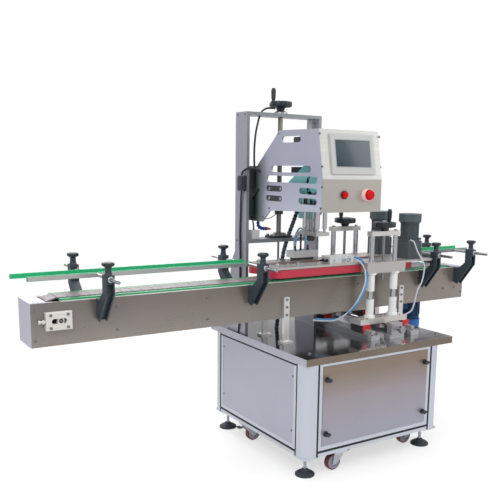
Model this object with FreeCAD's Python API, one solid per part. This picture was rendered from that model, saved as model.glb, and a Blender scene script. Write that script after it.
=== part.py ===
import FreeCAD
import Part
import math
import os

# Linear capping machine. Millimetres, +Z up, the floor is z = 0.
# Sizes below count x along the conveyor from its mid length and y from its centre line, with -y the operator's side.
# save() then moves every solid by SHIFT, so that the origin is the centre of the machine's footprint.

# Driving sizes
CONVEYOR_LENGTH = 2000.0
BEAM_HALF_WIDTH = 71.0
BEAM_BOTTOM = 570.0
BEAM_HEIGHT = 145.0
CHAIN_TOP = 725.0
CHAIN_HALF_WIDTH = 41.0
TABLE_TOP = 470.0
TABLE_THICK = 27.0
CABINET_SIZE = 700.0
CABINET_LEFT = -93.0
CABINET_FRONT = -333.0
CABINET_BOTTOM = 83.0
COLUMN_TOP = 1377.0
HEAD_CENTRE_X = 102.5
CAPPING_X = 157.0
BELT_GAP = 60.0
UNIT_CENTRE_X = 441.0
POST_Y = 130.0
RUNNING = 0.05
SHIFT = FreeCAD.Vector(-15.5, -22.5, 0.0)

# Sizes worked out from them
CABINET_RIGHT = CABINET_LEFT + CABINET_SIZE - 4.0
CABINET_BACK = CABINET_FRONT + CABINET_SIZE
CABINET_TOP = TABLE_TOP - TABLE_THICK
BEAM_TOP = BEAM_BOTTOM + BEAM_HEIGHT
BEAM_END = CONVEYOR_LENGTH / 2 - 2.0

# Cabinet
POST_WIDE = 55.0
POST_ROUND = 40.0
STRIP_WIDE = 9.0
LIP_WIDE = 15.0
RAIL_DEEP = 30.0
LOW_SLOT_Z = (97.0, 106.0)
HIGH_SLOT_Z = (433.0, 440.0)
OPENING_Z = (121.0, 433.0)
PLATE_UNDER = 5.0

# Conveyor
WEB_THICK = 4.0
FLANGE_WIDE = 20.0
SHAFT_Z = 655.0
IDLER_X = -905.0
DRIVE_X = 908.0
CHAIN_OUTER_R = CHAIN_TOP - SHAFT_Z
SLAT_THICK = 4.0
SLAT_PITCH = 38.1
SPROCKET_R = 62.0
COVER_FROM = 947.0
LEG_X = (-12.0, 600.0)
SPACER_X = (-708.0, -360.0, 0.0, 360.0, 708.0)
SPACER_Z = (601.0, 680.0)

# Column
COLUMN_X = (-82.0, 287.0)
COLUMN_Y = (119.0, 207.0)
COLUMN_PLATE = 13.0
CROSSBAR_Z = (852.0, 867.0)
SCREW_Y = 158.0
SCREW_R = 10.0
COLUMN_RAIL_Y = 163.0
HEAD_WHEEL_Z = COLUMN_TOP + 14

# Head
HEAD_PLATE = 6.0
HEAD_HALF_WIDTH = 137.5
HEAD_LEFT = HEAD_CENTRE_X - HEAD_HALF_WIDTH
HEAD_RIGHT = HEAD_CENTRE_X + HEAD_HALF_WIDTH
HEAD_BASE_Z = 1008.0
HEAD_SHELF_Z = 1088.0
LIFT_PLATE_Z = (890.0, 905.0)
ROD_RADIUS = 9.0
ROD_TOP = 1050.0
PISTON_R = 5.0
PISTON_Y = -34.0
SPINDLE_R = 7.0
SPINDLE_TOP = 1150.0
PANEL_FRONT_Y = -325.0
PANEL_THICK = 3.0
PANEL_LEAN = math.degrees(math.atan2(31.0, 176.0))
BUTTON_Z = 1064.0
BUTTON_X = 62.0
STOP_X = 167.0
BUTTON_HOLE_R = 12.0

# Handwheels
GRIP_OUT = 36.0
GRIP_PIN_R = 3.0
HEAD_GRIP_ANGLE = 180

# Profile rails and their blocks
RAIL_HALF = 10.0
RAIL_HIGH = 15.0
BLOCK_HALF = 22.0

# Side-belt units; Y counts outward from the conveyor's centre line
CROSS_X = (331.0, 551.0)
CROSS_BAR_HIGH = 19.0
CROSS_BAR_END = 226.0
CROSS_TOWER_Y = 218.0
CROSS_SCREW_Z = 510.0
CROSS_SCREW_R = 8.0
CARRIAGE_Z = (523.0, 545.0)
POST_X = (UNIT_CENTRE_X - 64.0, UNIT_CENTRE_X + 64.0)
POST_R = 11.0
PORTAL_Z = (887.0, 906.0)
LIFT_SCREW_R = 6.0
UNIT_PLATE_Z = (770.0, 779.0)
BELT_Z = (737.0, 767.0)
BELT_THICK = 6.0
BELT_OUTER_R = 40.0
PULLEY_Y = BELT_GAP / 2 + BELT_OUTER_R
PULLEY_X = (-50.0, 610.0)
PULLEY_R = BELT_OUTER_R - BELT_THICK - 0.1

# Guide rails and their brackets
RAIL_Z = (784.0, 800.0)
ROD_Z = 792.0
ROD_R = 6.0
ROD_END_Y = 245.0
KNOB_Y = 152.0
BRACKETS = {
    "left_front": (-1, (-766.0, -171.0), (-998.0, -157.0)),
    "left_rear": (1, (-785.0, -169.0), (-1030.0, -137.0)),
    "right_front": (-1, (729.0, 952.0), (710.0, 1043.0)),
    "right_rear": (1, (802.0, 980.0), (710.0, 1061.0)),
}

# Feet and casters
FOOT_XY = ((-50.0, -280.0), (556.0, -280.0), (-50.0, 314.0), (556.0, 314.0))
CASTERS = ((88.0, -300.0, -1), (520.0, -240.0, -1), (-60.0, 120.0, 1), (566.0, 120.0, -1))
CASTER_TRAIL = 22.0
WHEEL_R = 32.0
WHEEL_Z = 36.0
WHEEL_HALF = 11.0


def vec(x, y, z):
    return FreeCAD.Vector(x, y, z)


def block(x, y, z):
    """A box from (low, high) pairs."""
    return Part.makeBox(x[1] - x[0], y[1] - y[0], z[1] - z[0], vec(x[0], y[0], z[0]))


def centred(cx, cy, wide, deep, z):
    return block((cx - wide / 2, cx + wide / 2), (cy - deep / 2, cy + deep / 2), z)


def post(x, y, r, z):
    """A cylinder along z."""
    return Part.makeCylinder(r, z[1] - z[0], vec(x, y, z[0]))


def bar_y(x, z, r, y):
    """A cylinder along y."""
    low, high = min(y), max(y)
    return Part.makeCylinder(r, high - low, vec(x, low, z), vec(0, 1, 0))


def bar_x(y, z, r, x):
    """A cylinder along x."""
    return Part.makeCylinder(r, x[1] - x[0], vec(x[0], y, z), vec(1, 0, 0))


def prism(points, direction):
    """A solid swept from a closed outline of 3-D points."""
    wire = Part.makePolygon([vec(*p) for p in points] + [vec(*points[0])])
    return Part.Face(wire).extrude(vec(*direction))


def turned(x, y, profile):
    """A solid turned about the vertical line through x, y; the profile is (radius, z) points."""
    points = [vec(x + r, y, z) for r, z in profile]
    wire = Part.makePolygon(points + [points[0]])
    return Part.Face(wire).revolve(vec(x, y, 0), vec(0, 0, 1), 360)


def fuse(shapes):
    first = shapes[0]
    return first.fuse(shapes[1:]).removeSplitter() if len(shapes) > 1 else first


def cut(shape, tools):
    return shape.cut(tools)


def group(shapes):
    return Part.makeCompound(shapes)


def across(side, y):
    """The (low, high) pair of a span of Y on the front (-1) or rear (+1) side."""
    return tuple(sorted((side * y[0], side * y[1])))


def stadium(x, y, r, z):
    """A slab with two half-round ends centred on x[0] and x[1]."""
    return fuse([block(x, (y - r, y + r), z), post(x[0], y, r, z), post(x[1], y, r, z)])


def polygon(x, y, r, sides, first, z):
    """An upright prism with a regular outline; first is the angle of its first corner in degrees."""
    angles = [math.radians(first + 360.0 * i / sides) for i in range(sides)]
    points = [(x + r * math.cos(a), y + r * math.sin(a), z[0]) for a in angles]
    return prism(points, (0, 0, z[1] - z[0]))


def hexagon(x, y, r, z):
    return polygon(x, y, r, 6, 0, z)


def upright_edges(solid):
    """The straight edges that run along z."""
    return [e for e in solid.Edges if abs(e.Vertexes[0].Z - e.Vertexes[-1].Z) > 1]


def edges_along_y(solid):
    return [e for e in solid.Edges if abs(e.Vertexes[0].Y - e.Vertexes[-1].Y) > 5]


def edges_at_y(solid, y):
    return [e for e in solid.Edges if all(abs(v.Y - y) < 0.1 for v in e.Vertexes)]


def circles(solid, r):
    """The full round edges of radius r."""
    return [e for e in solid.Edges if abs(e.Length - 2 * math.pi * r) < 0.1]


# ---------------------------------------------------------------- cabinet


def cabinet_corners():
    xs = ((CABINET_LEFT, 1), (CABINET_RIGHT, -1))
    ys = ((CABINET_FRONT, 1), (CABINET_BACK, -1))
    return [(x, dx, y, dy) for x, dx in xs for y, dy in ys]


def cabinet_post(x, dx, y, dy):
    """One hollow extruded post with a large outer radius."""
    z = (CABINET_BOTTOM, CABINET_TOP)
    xs = tuple(sorted((x, x + dx * POST_WIDE)))
    ys = tuple(sorted((y, y + dy * POST_WIDE)))
    solid = block(xs, ys, z)
    corner = [e for e in upright_edges(solid) if abs(e.Vertexes[0].X - x) < 0.01 and abs(e.Vertexes[0].Y - y) < 0.01]
    solid = solid.makeFillet(POST_ROUND, corner)
    hollow = post(x + dx * 32, y + dy * 32, 14, z)
    return solid.cut(hollow)


def cabinet_spans(inset):
    """Clear span between the corner strips along x and along y, drawn in by the inset."""
    edge = POST_WIDE + STRIP_WIDE + inset
    return (CABINET_LEFT + edge, CABINET_RIGHT - edge), (CABINET_FRONT + edge, CABINET_BACK - edge)


def face_boxes(depth, z, inset=0.0):
    """One box on each of the four faces of the cabinet, depth counted inward from the face."""
    xs, ys = cabinet_spans(inset)
    front = block(xs, (CABINET_FRONT + depth[0], CABINET_FRONT + depth[1]), z)
    back = block(xs, (CABINET_BACK - depth[1], CABINET_BACK - depth[0]), z)
    left = block((CABINET_LEFT + depth[0], CABINET_LEFT + depth[1]), ys, z)
    right = block((CABINET_RIGHT - depth[1], CABINET_RIGHT - depth[0]), ys, z)
    return front, back, left, right


def caster_plate(x, y):
    plate = centred(x, y, 58, 58, (CABINET_BOTTOM - 9, CABINET_BOTTOM))
    return plate.cut(post(x, y, 8 + RUNNING, (CABINET_BOTTOM - 10, CABINET_BOTTOM + 1)))


def foot_plate(x, y):
    """A plate under each bottom corner that takes the levelling foot."""
    xs = (CABINET_LEFT + 2, CABINET_LEFT + 80) if x < HEAD_CENTRE_X else (CABINET_RIGHT - 80, CABINET_RIGHT - 2)
    ys = (CABINET_FRONT + 2, CABINET_FRONT + 86) if y < 0 else (CABINET_BACK - 86, CABINET_BACK - 2)
    plate = block(xs, ys, (CABINET_BOTTOM - PLATE_UNDER, CABINET_BOTTOM))
    return plate.makeFillet(12, upright_edges(plate))


def opening_lips():
    """The lip round the opening of each face; a slot runs along the top of all but the front one."""
    lips = face_boxes((1, 14), (LOW_SLOT_Z[1], CABINET_TOP))
    openings = face_boxes((0, 15), OPENING_Z, LIP_WIDE)
    slots = face_boxes((0, 15), HIGH_SLOT_Z)
    front = lips[0].cut(openings[0])
    others = [lip.cut(opening).cut(slot) for lip, opening, slot in zip(lips[1:], openings[1:], slots[1:])]
    return [front] + others


def cabinet_frame():
    posts = [cabinet_post(*c) for c in cabinet_corners()]
    low = face_boxes((0, RAIL_DEEP), (CABINET_BOTTOM, LOW_SLOT_Z[0]))
    high = face_boxes((16, 16 + RAIL_DEEP), (CABINET_TOP - RAIL_DEEP, CABINET_TOP))
    feet = [foot_plate(x, y) for x, y in FOOT_XY]
    casters = [caster_plate(x, y) for x, y, _ in CASTERS]
    return group(posts + list(low) + list(high) + opening_lips() + feet + casters)


def slot_strips():
    """Dark strips that close the slots of the posts and rails round each panel."""
    depth = (1.0, 9.0)
    low = face_boxes(depth, LOW_SLOT_Z)
    high = face_boxes(depth, HIGH_SLOT_Z)[1:]
    z = (CABINET_BOTTOM, CABINET_TOP)
    uprights = []
    for x, dx, y, dy in cabinet_corners():
        along = tuple(sorted((x + dx * POST_WIDE, x + dx * (POST_WIDE + STRIP_WIDE))))
        inward = tuple(sorted((y + dy * depth[0], y + dy * depth[1])))
        uprights.append(block(along, inward, z))
        along = tuple(sorted((y + dy * POST_WIDE, y + dy * (POST_WIDE + STRIP_WIDE))))
        inward = tuple(sorted((x + dx * depth[0], x + dx * depth[1])))
        uprights.append(block(inward, along, z))
    return group(list(low) + list(high) + uprights)


def cabinet_panels():
    """Fixed sheet panels on the back, left and right."""
    _, back, left, right = face_boxes((2.0, 5.0), OPENING_Z, LIP_WIDE)
    return group([back, left, right])


def cabinet_door():
    """Lift-off front panel with a folded back edge."""
    xs, _ = cabinet_spans(LIP_WIDE)
    gap = 1.0
    z = (OPENING_Z[0] + gap, OPENING_Z[1] - gap)
    x = (xs[0] + gap, xs[1] - gap)
    y = CABINET_FRONT
    sheet = block(x, (y - 1, y + 1), z)
    rim = block(x, (y + 1, y + 15), z)
    hollow = block((x[0] + 2, x[1] - 2), (y, y + 16), (z[0] + 2, z[1] - 2))
    return fuse([sheet, rim.cut(hollow)])


def door_knobs():
    knobs = []
    for x in (4.0, 507.0):
        for z in (170.0, 382.0):
            y = CABINET_FRONT - 1
            base = bar_y(x, z, 11, (y - 4, y))
            grip = bar_y(x, z, 8, (y - 18, y - 4))
            wing = block((x - 12, x + 12), (y - 18, y - 8), (z - 3.5, z + 3.5))
            knobs.append(fuse([base, grip, wing]))
    return group(knobs)


def table_top():
    """Folded sheet table, open underneath in the middle."""
    x = (CABINET_LEFT, 668.0)
    y = (CABINET_FRONT, 400.0)
    outer = block(x, y, (CABINET_TOP, TABLE_TOP))
    outer = outer.makeFillet(6, upright_edges(outer))
    cavity = block((x[0] + 4, x[1] - 4), (y[0] + 4, y[1] - 4), (CABINET_TOP + 4, TABLE_TOP - 4))
    mouth = block((x[0] + 110, x[1] - 180), (y[0] + 110, y[1] - 145), (CABINET_TOP - 1, CABINET_TOP + 5))
    return outer.cut(cavity).cut(mouth)


def levelling_feet():
    feet = []
    for x, y in FOOT_XY:
        pad = turned(x, y, [(0, 0), (38, 0), (38, 6), (30, 12), (15, 18), (12, 24), (0, 24)])
        stud = post(x, y, 6, (24, CABINET_BOTTOM - PLATE_UNDER))
        nut = hexagon(x, y, 11, (66, 76))
        feet.append(fuse([pad, stud, nut]))
    return group(feet)


def caster_fork(x, y, side):
    """Swivel head, two legs, axle and a brake lever."""
    wheel_x = x + side * CASTER_TRAIL
    legs = []
    for s in (-1, 1):
        span = tuple(sorted((y + s * 13, y + s * 16)))
        outline = [
            (wheel_x - 9, WHEEL_Z - 9),
            (wheel_x + 9, WHEEL_Z - 9),
            (x + 24, 68),
            (x - 24, 68),
        ]
        legs.append(prism([(px, span[0], pz) for px, pz in outline], (0, 3, 0)))
    crown = centred(x, y, 48, 32, (68, 71))
    race = turned(x, y, [(0, 71), (22, 71), (20, 74), (8, 74), (8, 81), (0, 81)])
    axle = bar_y(wheel_x, WHEEL_Z, 4, (y - 16, y + 16))
    lever = block(tuple(sorted((x - side * 20, x - side * 52))), (y - 9, y + 9), (66, 69))
    tip = block(tuple(sorted((x - side * 38, x - side * 54))), (y - 12, y + 12), (69, 73))
    return fuse(legs + [crown, race, axle, lever, tip])


def caster_forks():
    return group([caster_fork(*caster) for caster in CASTERS])


def caster_wheel(x, y, side):
    wheel_x = x + side * CASTER_TRAIL
    tyre = bar_y(wheel_x, WHEEL_Z, WHEEL_R, (y - WHEEL_HALF, y + WHEEL_HALF))
    dish = [
        bar_y(wheel_x, WHEEL_Z, 21, (y + WHEEL_HALF - 3, y + WHEEL_HALF + 1)),
        bar_y(wheel_x, WHEEL_Z, 21, (y - WHEEL_HALF - 1, y - WHEEL_HALF + 3)),
    ]
    hub = bar_y(wheel_x, WHEEL_Z, 8, (y - 12.5, y + 12.5))
    bore = bar_y(wheel_x, WHEEL_Z, 4 + RUNNING, (y - 20, y + 20))
    tyre = tyre.makeFillet(3, circles(tyre, WHEEL_R))
    return fuse([cut(tyre, dish), hub]).cut(bore)


# ---------------------------------------------------------------- conveyor


def conveyor_side(side):
    """One folded side channel, open inward; the rear one also lets the drive shaft through."""
    x = (-BEAM_END, BEAM_END)
    inner = BEAM_HALF_WIDTH - WEB_THICK
    web = block(x, across(side, (inner, BEAM_HALF_WIDTH)), (BEAM_BOTTOM, BEAM_TOP))
    flange_y = across(side, (BEAM_HALF_WIDTH - FLANGE_WIDE, inner))
    top = block(x, flange_y, (BEAM_TOP - WEB_THICK, BEAM_TOP))
    bottom = block(x, flange_y, (BEAM_BOTTOM, BEAM_BOTTOM + WEB_THICK))
    channel = fuse([web, top, bottom])
    reach = across(side, (inner - 5, BEAM_HALF_WIDTH + 5))
    openings = [block((IDLER_X - 36, IDLER_X + 24), reach, (SHAFT_Z - 12, SHAFT_Z + 12))]
    if side > 0:
        openings.append(bar_y(DRIVE_X, SHAFT_Z, 14, reach))
    return cut(channel, openings)


def conveyor_sides():
    return group([conveyor_side(-1), conveyor_side(1)])


def conveyor_end_covers():
    """Folded end caps: an end plate and a short top plate over the sprocket."""
    covers = []
    for s in (-1, 1):
        x_end = across(s, (BEAM_END, CONVEYOR_LENGTH / 2))
        wide = (-BEAM_HALF_WIDTH, BEAM_HALF_WIDTH)
        end = block(x_end, wide, (BEAM_BOTTOM, BEAM_TOP + 2))
        top = block(across(s, (COVER_FROM, BEAM_END)), wide, (BEAM_TOP, BEAM_TOP + 2))
        covers.append(fuse([end, top]))
    return group(covers)


def conveyor_leg(x, side):
    """A flat upright bar on a foot flange, bolted to the side channel."""
    span = across(side, (BEAM_HALF_WIDTH, BEAM_HALF_WIDTH + 12))
    upright = block((x - 12.5, x + 12.5), span, (TABLE_TOP + 8, 656.0))
    foot_y = across(side, (BEAM_HALF_WIDTH - 12, BEAM_HALF_WIDTH + 26))
    foot = block((x - 24, x + 24), foot_y, (TABLE_TOP, TABLE_TOP + 8))
    return fuse([upright, foot])


def conveyor_supports():
    """Legs, round spacers between the side channels and the two bars the chain slides on."""
    inner = BEAM_HALF_WIDTH - WEB_THICK
    legs = [conveyor_leg(x, s) for x in LEG_X for s in (-1, 1)]
    spacers = [bar_y(x, z, 8, (-inner, inner)) for x in SPACER_X for z in SPACER_Z]
    saddles = []
    for s in (-1, 1):
        bed = block((-838.0, 838.0), across(s, (24, 32)), (SPACER_Z[1] + 8, CHAIN_TOP - SLAT_THICK))
        saddles.append(bed)
    return group(legs + spacers + saddles)


def chain_loop(r, y):
    """A loop slab round both shafts, seen from the front as a stadium."""
    middle = block((IDLER_X, DRIVE_X), y, (SHAFT_Z - r, SHAFT_Z + r))
    return fuse([middle, bar_y(IDLER_X, SHAFT_Z, r, y), bar_y(DRIVE_X, SHAFT_Z, r, y)])


def slat_chain():
    """Flat-top slat chain as one band with the joints between slats cut in."""
    y = (-CHAIN_HALF_WIDTH, CHAIN_HALF_WIDTH)
    band = chain_loop(CHAIN_OUTER_R, y).cut(chain_loop(CHAIN_OUTER_R - SLAT_THICK, (y[0] - 1, y[1] + 1)))
    grooves = []
    count = int((DRIVE_X - IDLER_X) / SLAT_PITCH) + 1
    for i in range(count):
        x = IDLER_X + i * SLAT_PITCH
        grooves.append(block((x - 1, x + 1), (y[0] - 1, y[1] + 1), (CHAIN_TOP - 2, CHAIN_TOP + 1)))
        low = SHAFT_Z - CHAIN_OUTER_R
        grooves.append(block((x - 1, x + 1), (y[0] - 1, y[1] + 1), (low - 1, low + 2)))
    return cut(band, grooves)


def wear_strips():
    """Edge strips that lie on the top flanges on both sides of the chain."""
    strips = []
    for s in (-1, 1):
        base = block((-899.0, 899.0), across(s, (49, 71)), (BEAM_TOP, BEAM_TOP + 3))
        cap = block((-899.0, 899.0), across(s, (46, 69)), (BEAM_TOP + 3, BEAM_TOP + 8))
        strips.append(fuse([base, cap]))
    return group(strips)


def tensioner(side):
    """Slotted block with a sliding bearing and its adjusting bolt."""
    x = (IDLER_X - 49, IDLER_X + 37)
    z = (SHAFT_Z - 30, SHAFT_Z + 30)
    y = across(side, (BEAM_HALF_WIDTH, BEAM_HALF_WIDTH + 20))
    body = block(x, y, z)
    body = body.makeFillet(3, edges_at_y(body, side * (BEAM_HALF_WIDTH + 20)))
    reach = across(side, (BEAM_HALF_WIDTH - 1, BEAM_HALF_WIDTH + 21))
    slot = fuse([
        block((IDLER_X - 22, IDLER_X + 10), reach, (SHAFT_Z - 9, SHAFT_Z + 9)),
        bar_y(IDLER_X - 22, SHAFT_Z, 9, reach),
        bar_y(IDLER_X + 10, SHAFT_Z, 9, reach),
    ])
    body = body.cut(slot)
    bearing = block((IDLER_X - 11, IDLER_X + 10), across(side, (BEAM_HALF_WIDTH + 1, BEAM_HALF_WIDTH + 17)),
                    (SHAFT_Z - 9, SHAFT_Z + 9))
    bearing = bearing.cut(bar_y(IDLER_X, SHAFT_Z, 8 + RUNNING, reach))
    mid_y = side * (BEAM_HALF_WIDTH + 10)
    bolt = bar_x(mid_y, SHAFT_Z, 4, (x[0] - 18, x[0]))
    nut = bar_x(mid_y, SHAFT_Z, 7, (x[0] - 10, x[0] - 4))
    head = bar_x(mid_y, SHAFT_Z, 6.5, (x[0] - 22, x[0] - 17))
    return [body, bearing, fuse([bolt, nut, head])]


def drive_bearing(side):
    """Bearing plate inside the side channel at the drive end."""
    inner = BEAM_HALF_WIDTH - WEB_THICK
    y = across(side, (inner - 12, inner))
    plate = block((DRIVE_X - 45, DRIVE_X + 45), y, (SHAFT_Z - 44, SHAFT_Z + 44))
    return plate.cut(bar_y(DRIVE_X, SHAFT_Z, 10 + RUNNING, y))


def shaft_bearings():
    solids = []
    for s in (-1, 1):
        solids += tensioner(s)
        solids.append(drive_bearing(s))
    return group(solids)


def sprocket(x, y):
    """Toothed wheel that drives the chain."""
    wheel = bar_y(x, SHAFT_Z, SPROCKET_R, (y - 6, y + 6))
    gaps = []
    for i in range(12):
        a = math.radians(30 * i + 15)
        gaps.append(bar_y(x + SPROCKET_R * math.cos(a), SHAFT_Z + SPROCKET_R * math.sin(a), 8, (y - 7, y + 7)))
    return cut(wheel, gaps)


def drive_shaft():
    shaft = bar_y(DRIVE_X, SHAFT_Z, 10, (-66, 160))
    return fuse([shaft, sprocket(DRIVE_X, -20), sprocket(DRIVE_X, 20)])


def idler_shaft():
    shaft = bar_y(IDLER_X, SHAFT_Z, 8, (-88, 88))
    return fuse([shaft, sprocket(IDLER_X, -20), sprocket(IDLER_X, 20)])


def conveyor_gear_motor():
    """Worm gearbox on the drive shaft with its motor hanging down beside it."""
    case = block((DRIVE_X - 46, DRIVE_X + 50), (BEAM_HALF_WIDTH, 171.0), (SHAFT_Z - 52, SHAFT_Z + 56))
    case = case.makeFillet(10, edges_along_y(case))
    motor_x = DRIVE_X - 50
    motor_y = 121.0
    worm = post(motor_x, motor_y, 38, (594.0, 702.0))
    flange = post(motor_x, motor_y, 48, (582.0, 594.0))
    body = post(motor_x, motor_y, 44, (448.0, 582.0))
    fins = []
    for turn in range(0, 180, 30):
        fin = centred(0, 0, 95, 3, (470.0, 575.0))
        fin.rotate(vec(0, 0, 0), vec(0, 0, 1), turn)
        fin.translate(vec(motor_x, motor_y, 0))
        fins.append(fin)
    cap = turned(motor_x, motor_y, [(0, 400), (38, 398), (47, 406), (47.5, 448), (0, 448)])
    box = block((motor_x - 84, motor_x - 40), (motor_y - 28, motor_y + 28), (500.0, 570.0))
    whole = fuse([case, worm, flange, body, cap, box] + fins)
    return whole.cut(bar_y(DRIVE_X, SHAFT_Z, 10 + RUNNING, (BEAM_HALF_WIDTH - 1, 172.0)))


# ---------------------------------------------------------------- guide rails


def guide_bracket(x, side):
    """Angled arm on the side channel, hollow on its outer side, with a clamp knob on top."""
    outline = [(71, 650), (94, 640), (169, 738), (169, 806), (134, 806), (134, 745), (100, 716), (71, 716)]
    arm = prism([(x - 15, side * y, z) for y, z in outline], (30, 0, 0))
    recess = [(84, 634), (99, 634), (170, 728), (170, 776), (153, 776), (153, 742), (84, 652)]
    hollow = prism([(x - 10, side * y, z) for y, z in recess], (20, 0, 0))
    hole = bar_y(x, ROD_Z, ROD_R + RUNNING, across(side, (130, 175)))
    arm = cut(arm, [hollow, hole])
    neck_y = side * KNOB_Y
    neck = turned(x, neck_y, [(0, 806), (14, 806), (11, 811), (10, 828), (12, 832), (0, 832)])
    cap = turned(x, neck_y, [(0, 832), (14, 832), (19, 836), (19, 843), (15, 846), (0, 846)])
    return fuse([arm, neck, cap])


def guide_brackets():
    return group([guide_bracket(x, side) for side, xs, _ in BRACKETS.values() for x in xs])


def guide_rail(side, bracket_x, span):
    """A plastic strip on a steel bar, carried by rods that slide in the brackets."""
    strip = block(span, across(side, (40, 48)), RAIL_Z)
    backing = block((span[0] + 2, span[1] - 2), across(side, (48, 54)), (RAIL_Z[0] + 2, RAIL_Z[1] - 2))
    rods = [bar_y(x, ROD_Z, ROD_R, across(side, (54, ROD_END_Y))) for x in bracket_x]
    return fuse([strip, backing] + rods)


# ---------------------------------------------------------------- column


def column_plate(x):
    """Side plate that widens towards the table."""
    outline = [
        (COLUMN_Y[0], TABLE_TOP),
        (COLUMN_Y[0], COLUMN_TOP - COLUMN_PLATE),
        (COLUMN_Y[1], COLUMN_TOP - COLUMN_PLATE),
        (COLUMN_Y[1], 813.0),
        (234.0, 772.0),
        (244.0, 719.0),
        (267.0, 484.0),
        (267.0, TABLE_TOP),
    ]
    return prism([(x, y, z) for y, z in outline], (COLUMN_PLATE, 0, 0))


def column_frame():
    left = column_plate(COLUMN_X[0])
    right = column_plate(COLUMN_X[1] - COLUMN_PLATE)
    bridge = block(COLUMN_X, COLUMN_Y, (COLUMN_TOP - COLUMN_PLATE, COLUMN_TOP))
    bridge = bridge.cut(post(HEAD_CENTRE_X, SCREW_Y, 9 + RUNNING, (COLUMN_TOP - 20, COLUMN_TOP + 1)))
    inside = (COLUMN_X[0] + COLUMN_PLATE, COLUMN_X[1] - COLUMN_PLATE)
    crossbar = block(inside, COLUMN_Y, CROSSBAR_Z)
    crossbar = crossbar.cut(post(HEAD_CENTRE_X, SCREW_Y, 9, (CROSSBAR_Z[0] - 1, CROSSBAR_Z[1] + 1)))
    return group([left, right, bridge, crossbar])


def screw_bearings():
    """Flange bearing on the crossbar and the collar on the column's bridge."""
    low = CROSSBAR_Z[1]
    base = centred(HEAD_CENTRE_X, SCREW_Y, 110, 56, (low, low + 9))
    base = base.makeFillet(10, upright_edges(base))
    boss = turned(HEAD_CENTRE_X, SCREW_Y, [(0, low + 9), (30, low + 9), (24, low + 21), (0, low + 21)])
    nut_places = [(HEAD_CENTRE_X + dx, SCREW_Y + dy) for dx in (-44, 44) for dy in (-16, 16)]
    nuts = [hexagon(x, y, 7, (low + 9, low + 16)) for x, y in nut_places]
    lower = fuse([base, boss] + nuts).cut(post(HEAD_CENTRE_X, SCREW_Y, 8 + RUNNING, (low - 1, low + 22)))
    profile = [(9 + RUNNING, COLUMN_TOP), (28, COLUMN_TOP), (28, COLUMN_TOP + 7), (20, COLUMN_TOP + 12)]
    collar = turned(HEAD_CENTRE_X, SCREW_Y, profile + [(9 + RUNNING, COLUMN_TOP + 12)])
    switch = block((-40.0, -4.0), (140.0, 176.0), (low, low + 36))
    return group([lower, collar, switch])


def linear_rails():
    """Profile rails inside the column and across the table, with the bars and screw blocks on the table."""
    rails = cross_blocks()
    z = (895.0, 1352.0)
    y = (COLUMN_RAIL_Y - RAIL_HALF, COLUMN_RAIL_Y + RAIL_HALF)
    left = COLUMN_X[0] + COLUMN_PLATE
    right = COLUMN_X[1] - COLUMN_PLATE
    rails.append(block((left, left + RAIL_HIGH), y, z))
    rails.append(block((right - RAIL_HIGH, right), y, z))
    low = TABLE_TOP + CROSS_BAR_HIGH
    for x in CROSS_X:
        rails.append(block((x - RAIL_HALF, x + RAIL_HALF), (-212.0, 212.0), (low, low + RAIL_HIGH)))
    return group(rails)


def cross_blocks():
    """Bars under the cross rails and the stepped bearing blocks of the cross screw."""
    bar_z = (TABLE_TOP, TABLE_TOP + CROSS_BAR_HIGH)
    solids = [block((x - 23, x + 23), (-CROSS_BAR_END, CROSS_BAR_END), bar_z) for x in CROSS_X]
    for s in (-1, 1):
        base = centred(UNIT_CENTRE_X, s * CROSS_TOWER_Y, 80, 34, (TABLE_TOP, TABLE_TOP + 14))
        tower = centred(UNIT_CENTRE_X, s * CROSS_TOWER_Y, 58, 28, (TABLE_TOP + 14, TABLE_TOP + 62))
        bore = bar_y(UNIT_CENTRE_X, CROSS_SCREW_Z, CROSS_SCREW_R + RUNNING, (-300, 300))
        solids.append(fuse([base, tower]).cut(bore))
    return solids


def cross_screw():
    """Screw with opposite threads that moves both carriages, with a plain knob at the front."""
    screw = bar_y(UNIT_CENTRE_X, CROSS_SCREW_Z, CROSS_SCREW_R, (-256, 246))
    knob = bar_y(UNIT_CENTRE_X, CROSS_SCREW_Z, 15, (-270, -252))
    knob = knob.makeFillet(1.5, circles(knob, 15))
    stop = bar_y(UNIT_CENTRE_X, CROSS_SCREW_Z, 11, (236, 248))
    return fuse([screw, knob, stop])


# ---------------------------------------------------------------- head


def head_side_plate(x):
    """Side plate with a leaning front, a cut-back top and rows of slots."""
    outline = [
        (200.0, 1164.0),
        (116.0, 1164.0),
        (-43.0, 1299.0),
        (-291.0, 1296.0),
        (-322.0, 1120.0),
        (-322.0, 1003.0),
        (15.0, 991.0),
        (73.0, 943.0),
        (200.0, 943.0),
    ]
    plate = prism([(x, y, z) for y, z in outline], (HEAD_PLATE, 0, 0))
    slots = [
        ((-184, -61), (1252, 1275)),
        ((-251, 9), (1141, 1166)),
        ((-290, 43), (1103, 1128)),
        ((-67, 47), (1067, 1089)),
        ((-67, 47), (1029, 1051)),
        ((-291, -180), (1063, 1086)),
        ((-291, -178), (1026, 1049)),
    ]
    tools = []
    for (y0, y1), (z0, z1) in slots:
        r = (z1 - z0) / 2
        mid = (z0 + z1) / 2
        span = (x - 1, x + HEAD_PLATE + 1)
        tools.append(block(span, (y0 + r, y1 - r), (z0, z1)))
        tools += [bar_x(y, mid, r, span) for y in (y0 + r, y1 - r)]
    return cut(plate, tools)


def capping_rods():
    """Positions of the four guide rods of the lift plate."""
    return [(CAPPING_X + dx, y) for dx in (-18.0, 18.0) for y in (-68.0, 20.0)]


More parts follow.
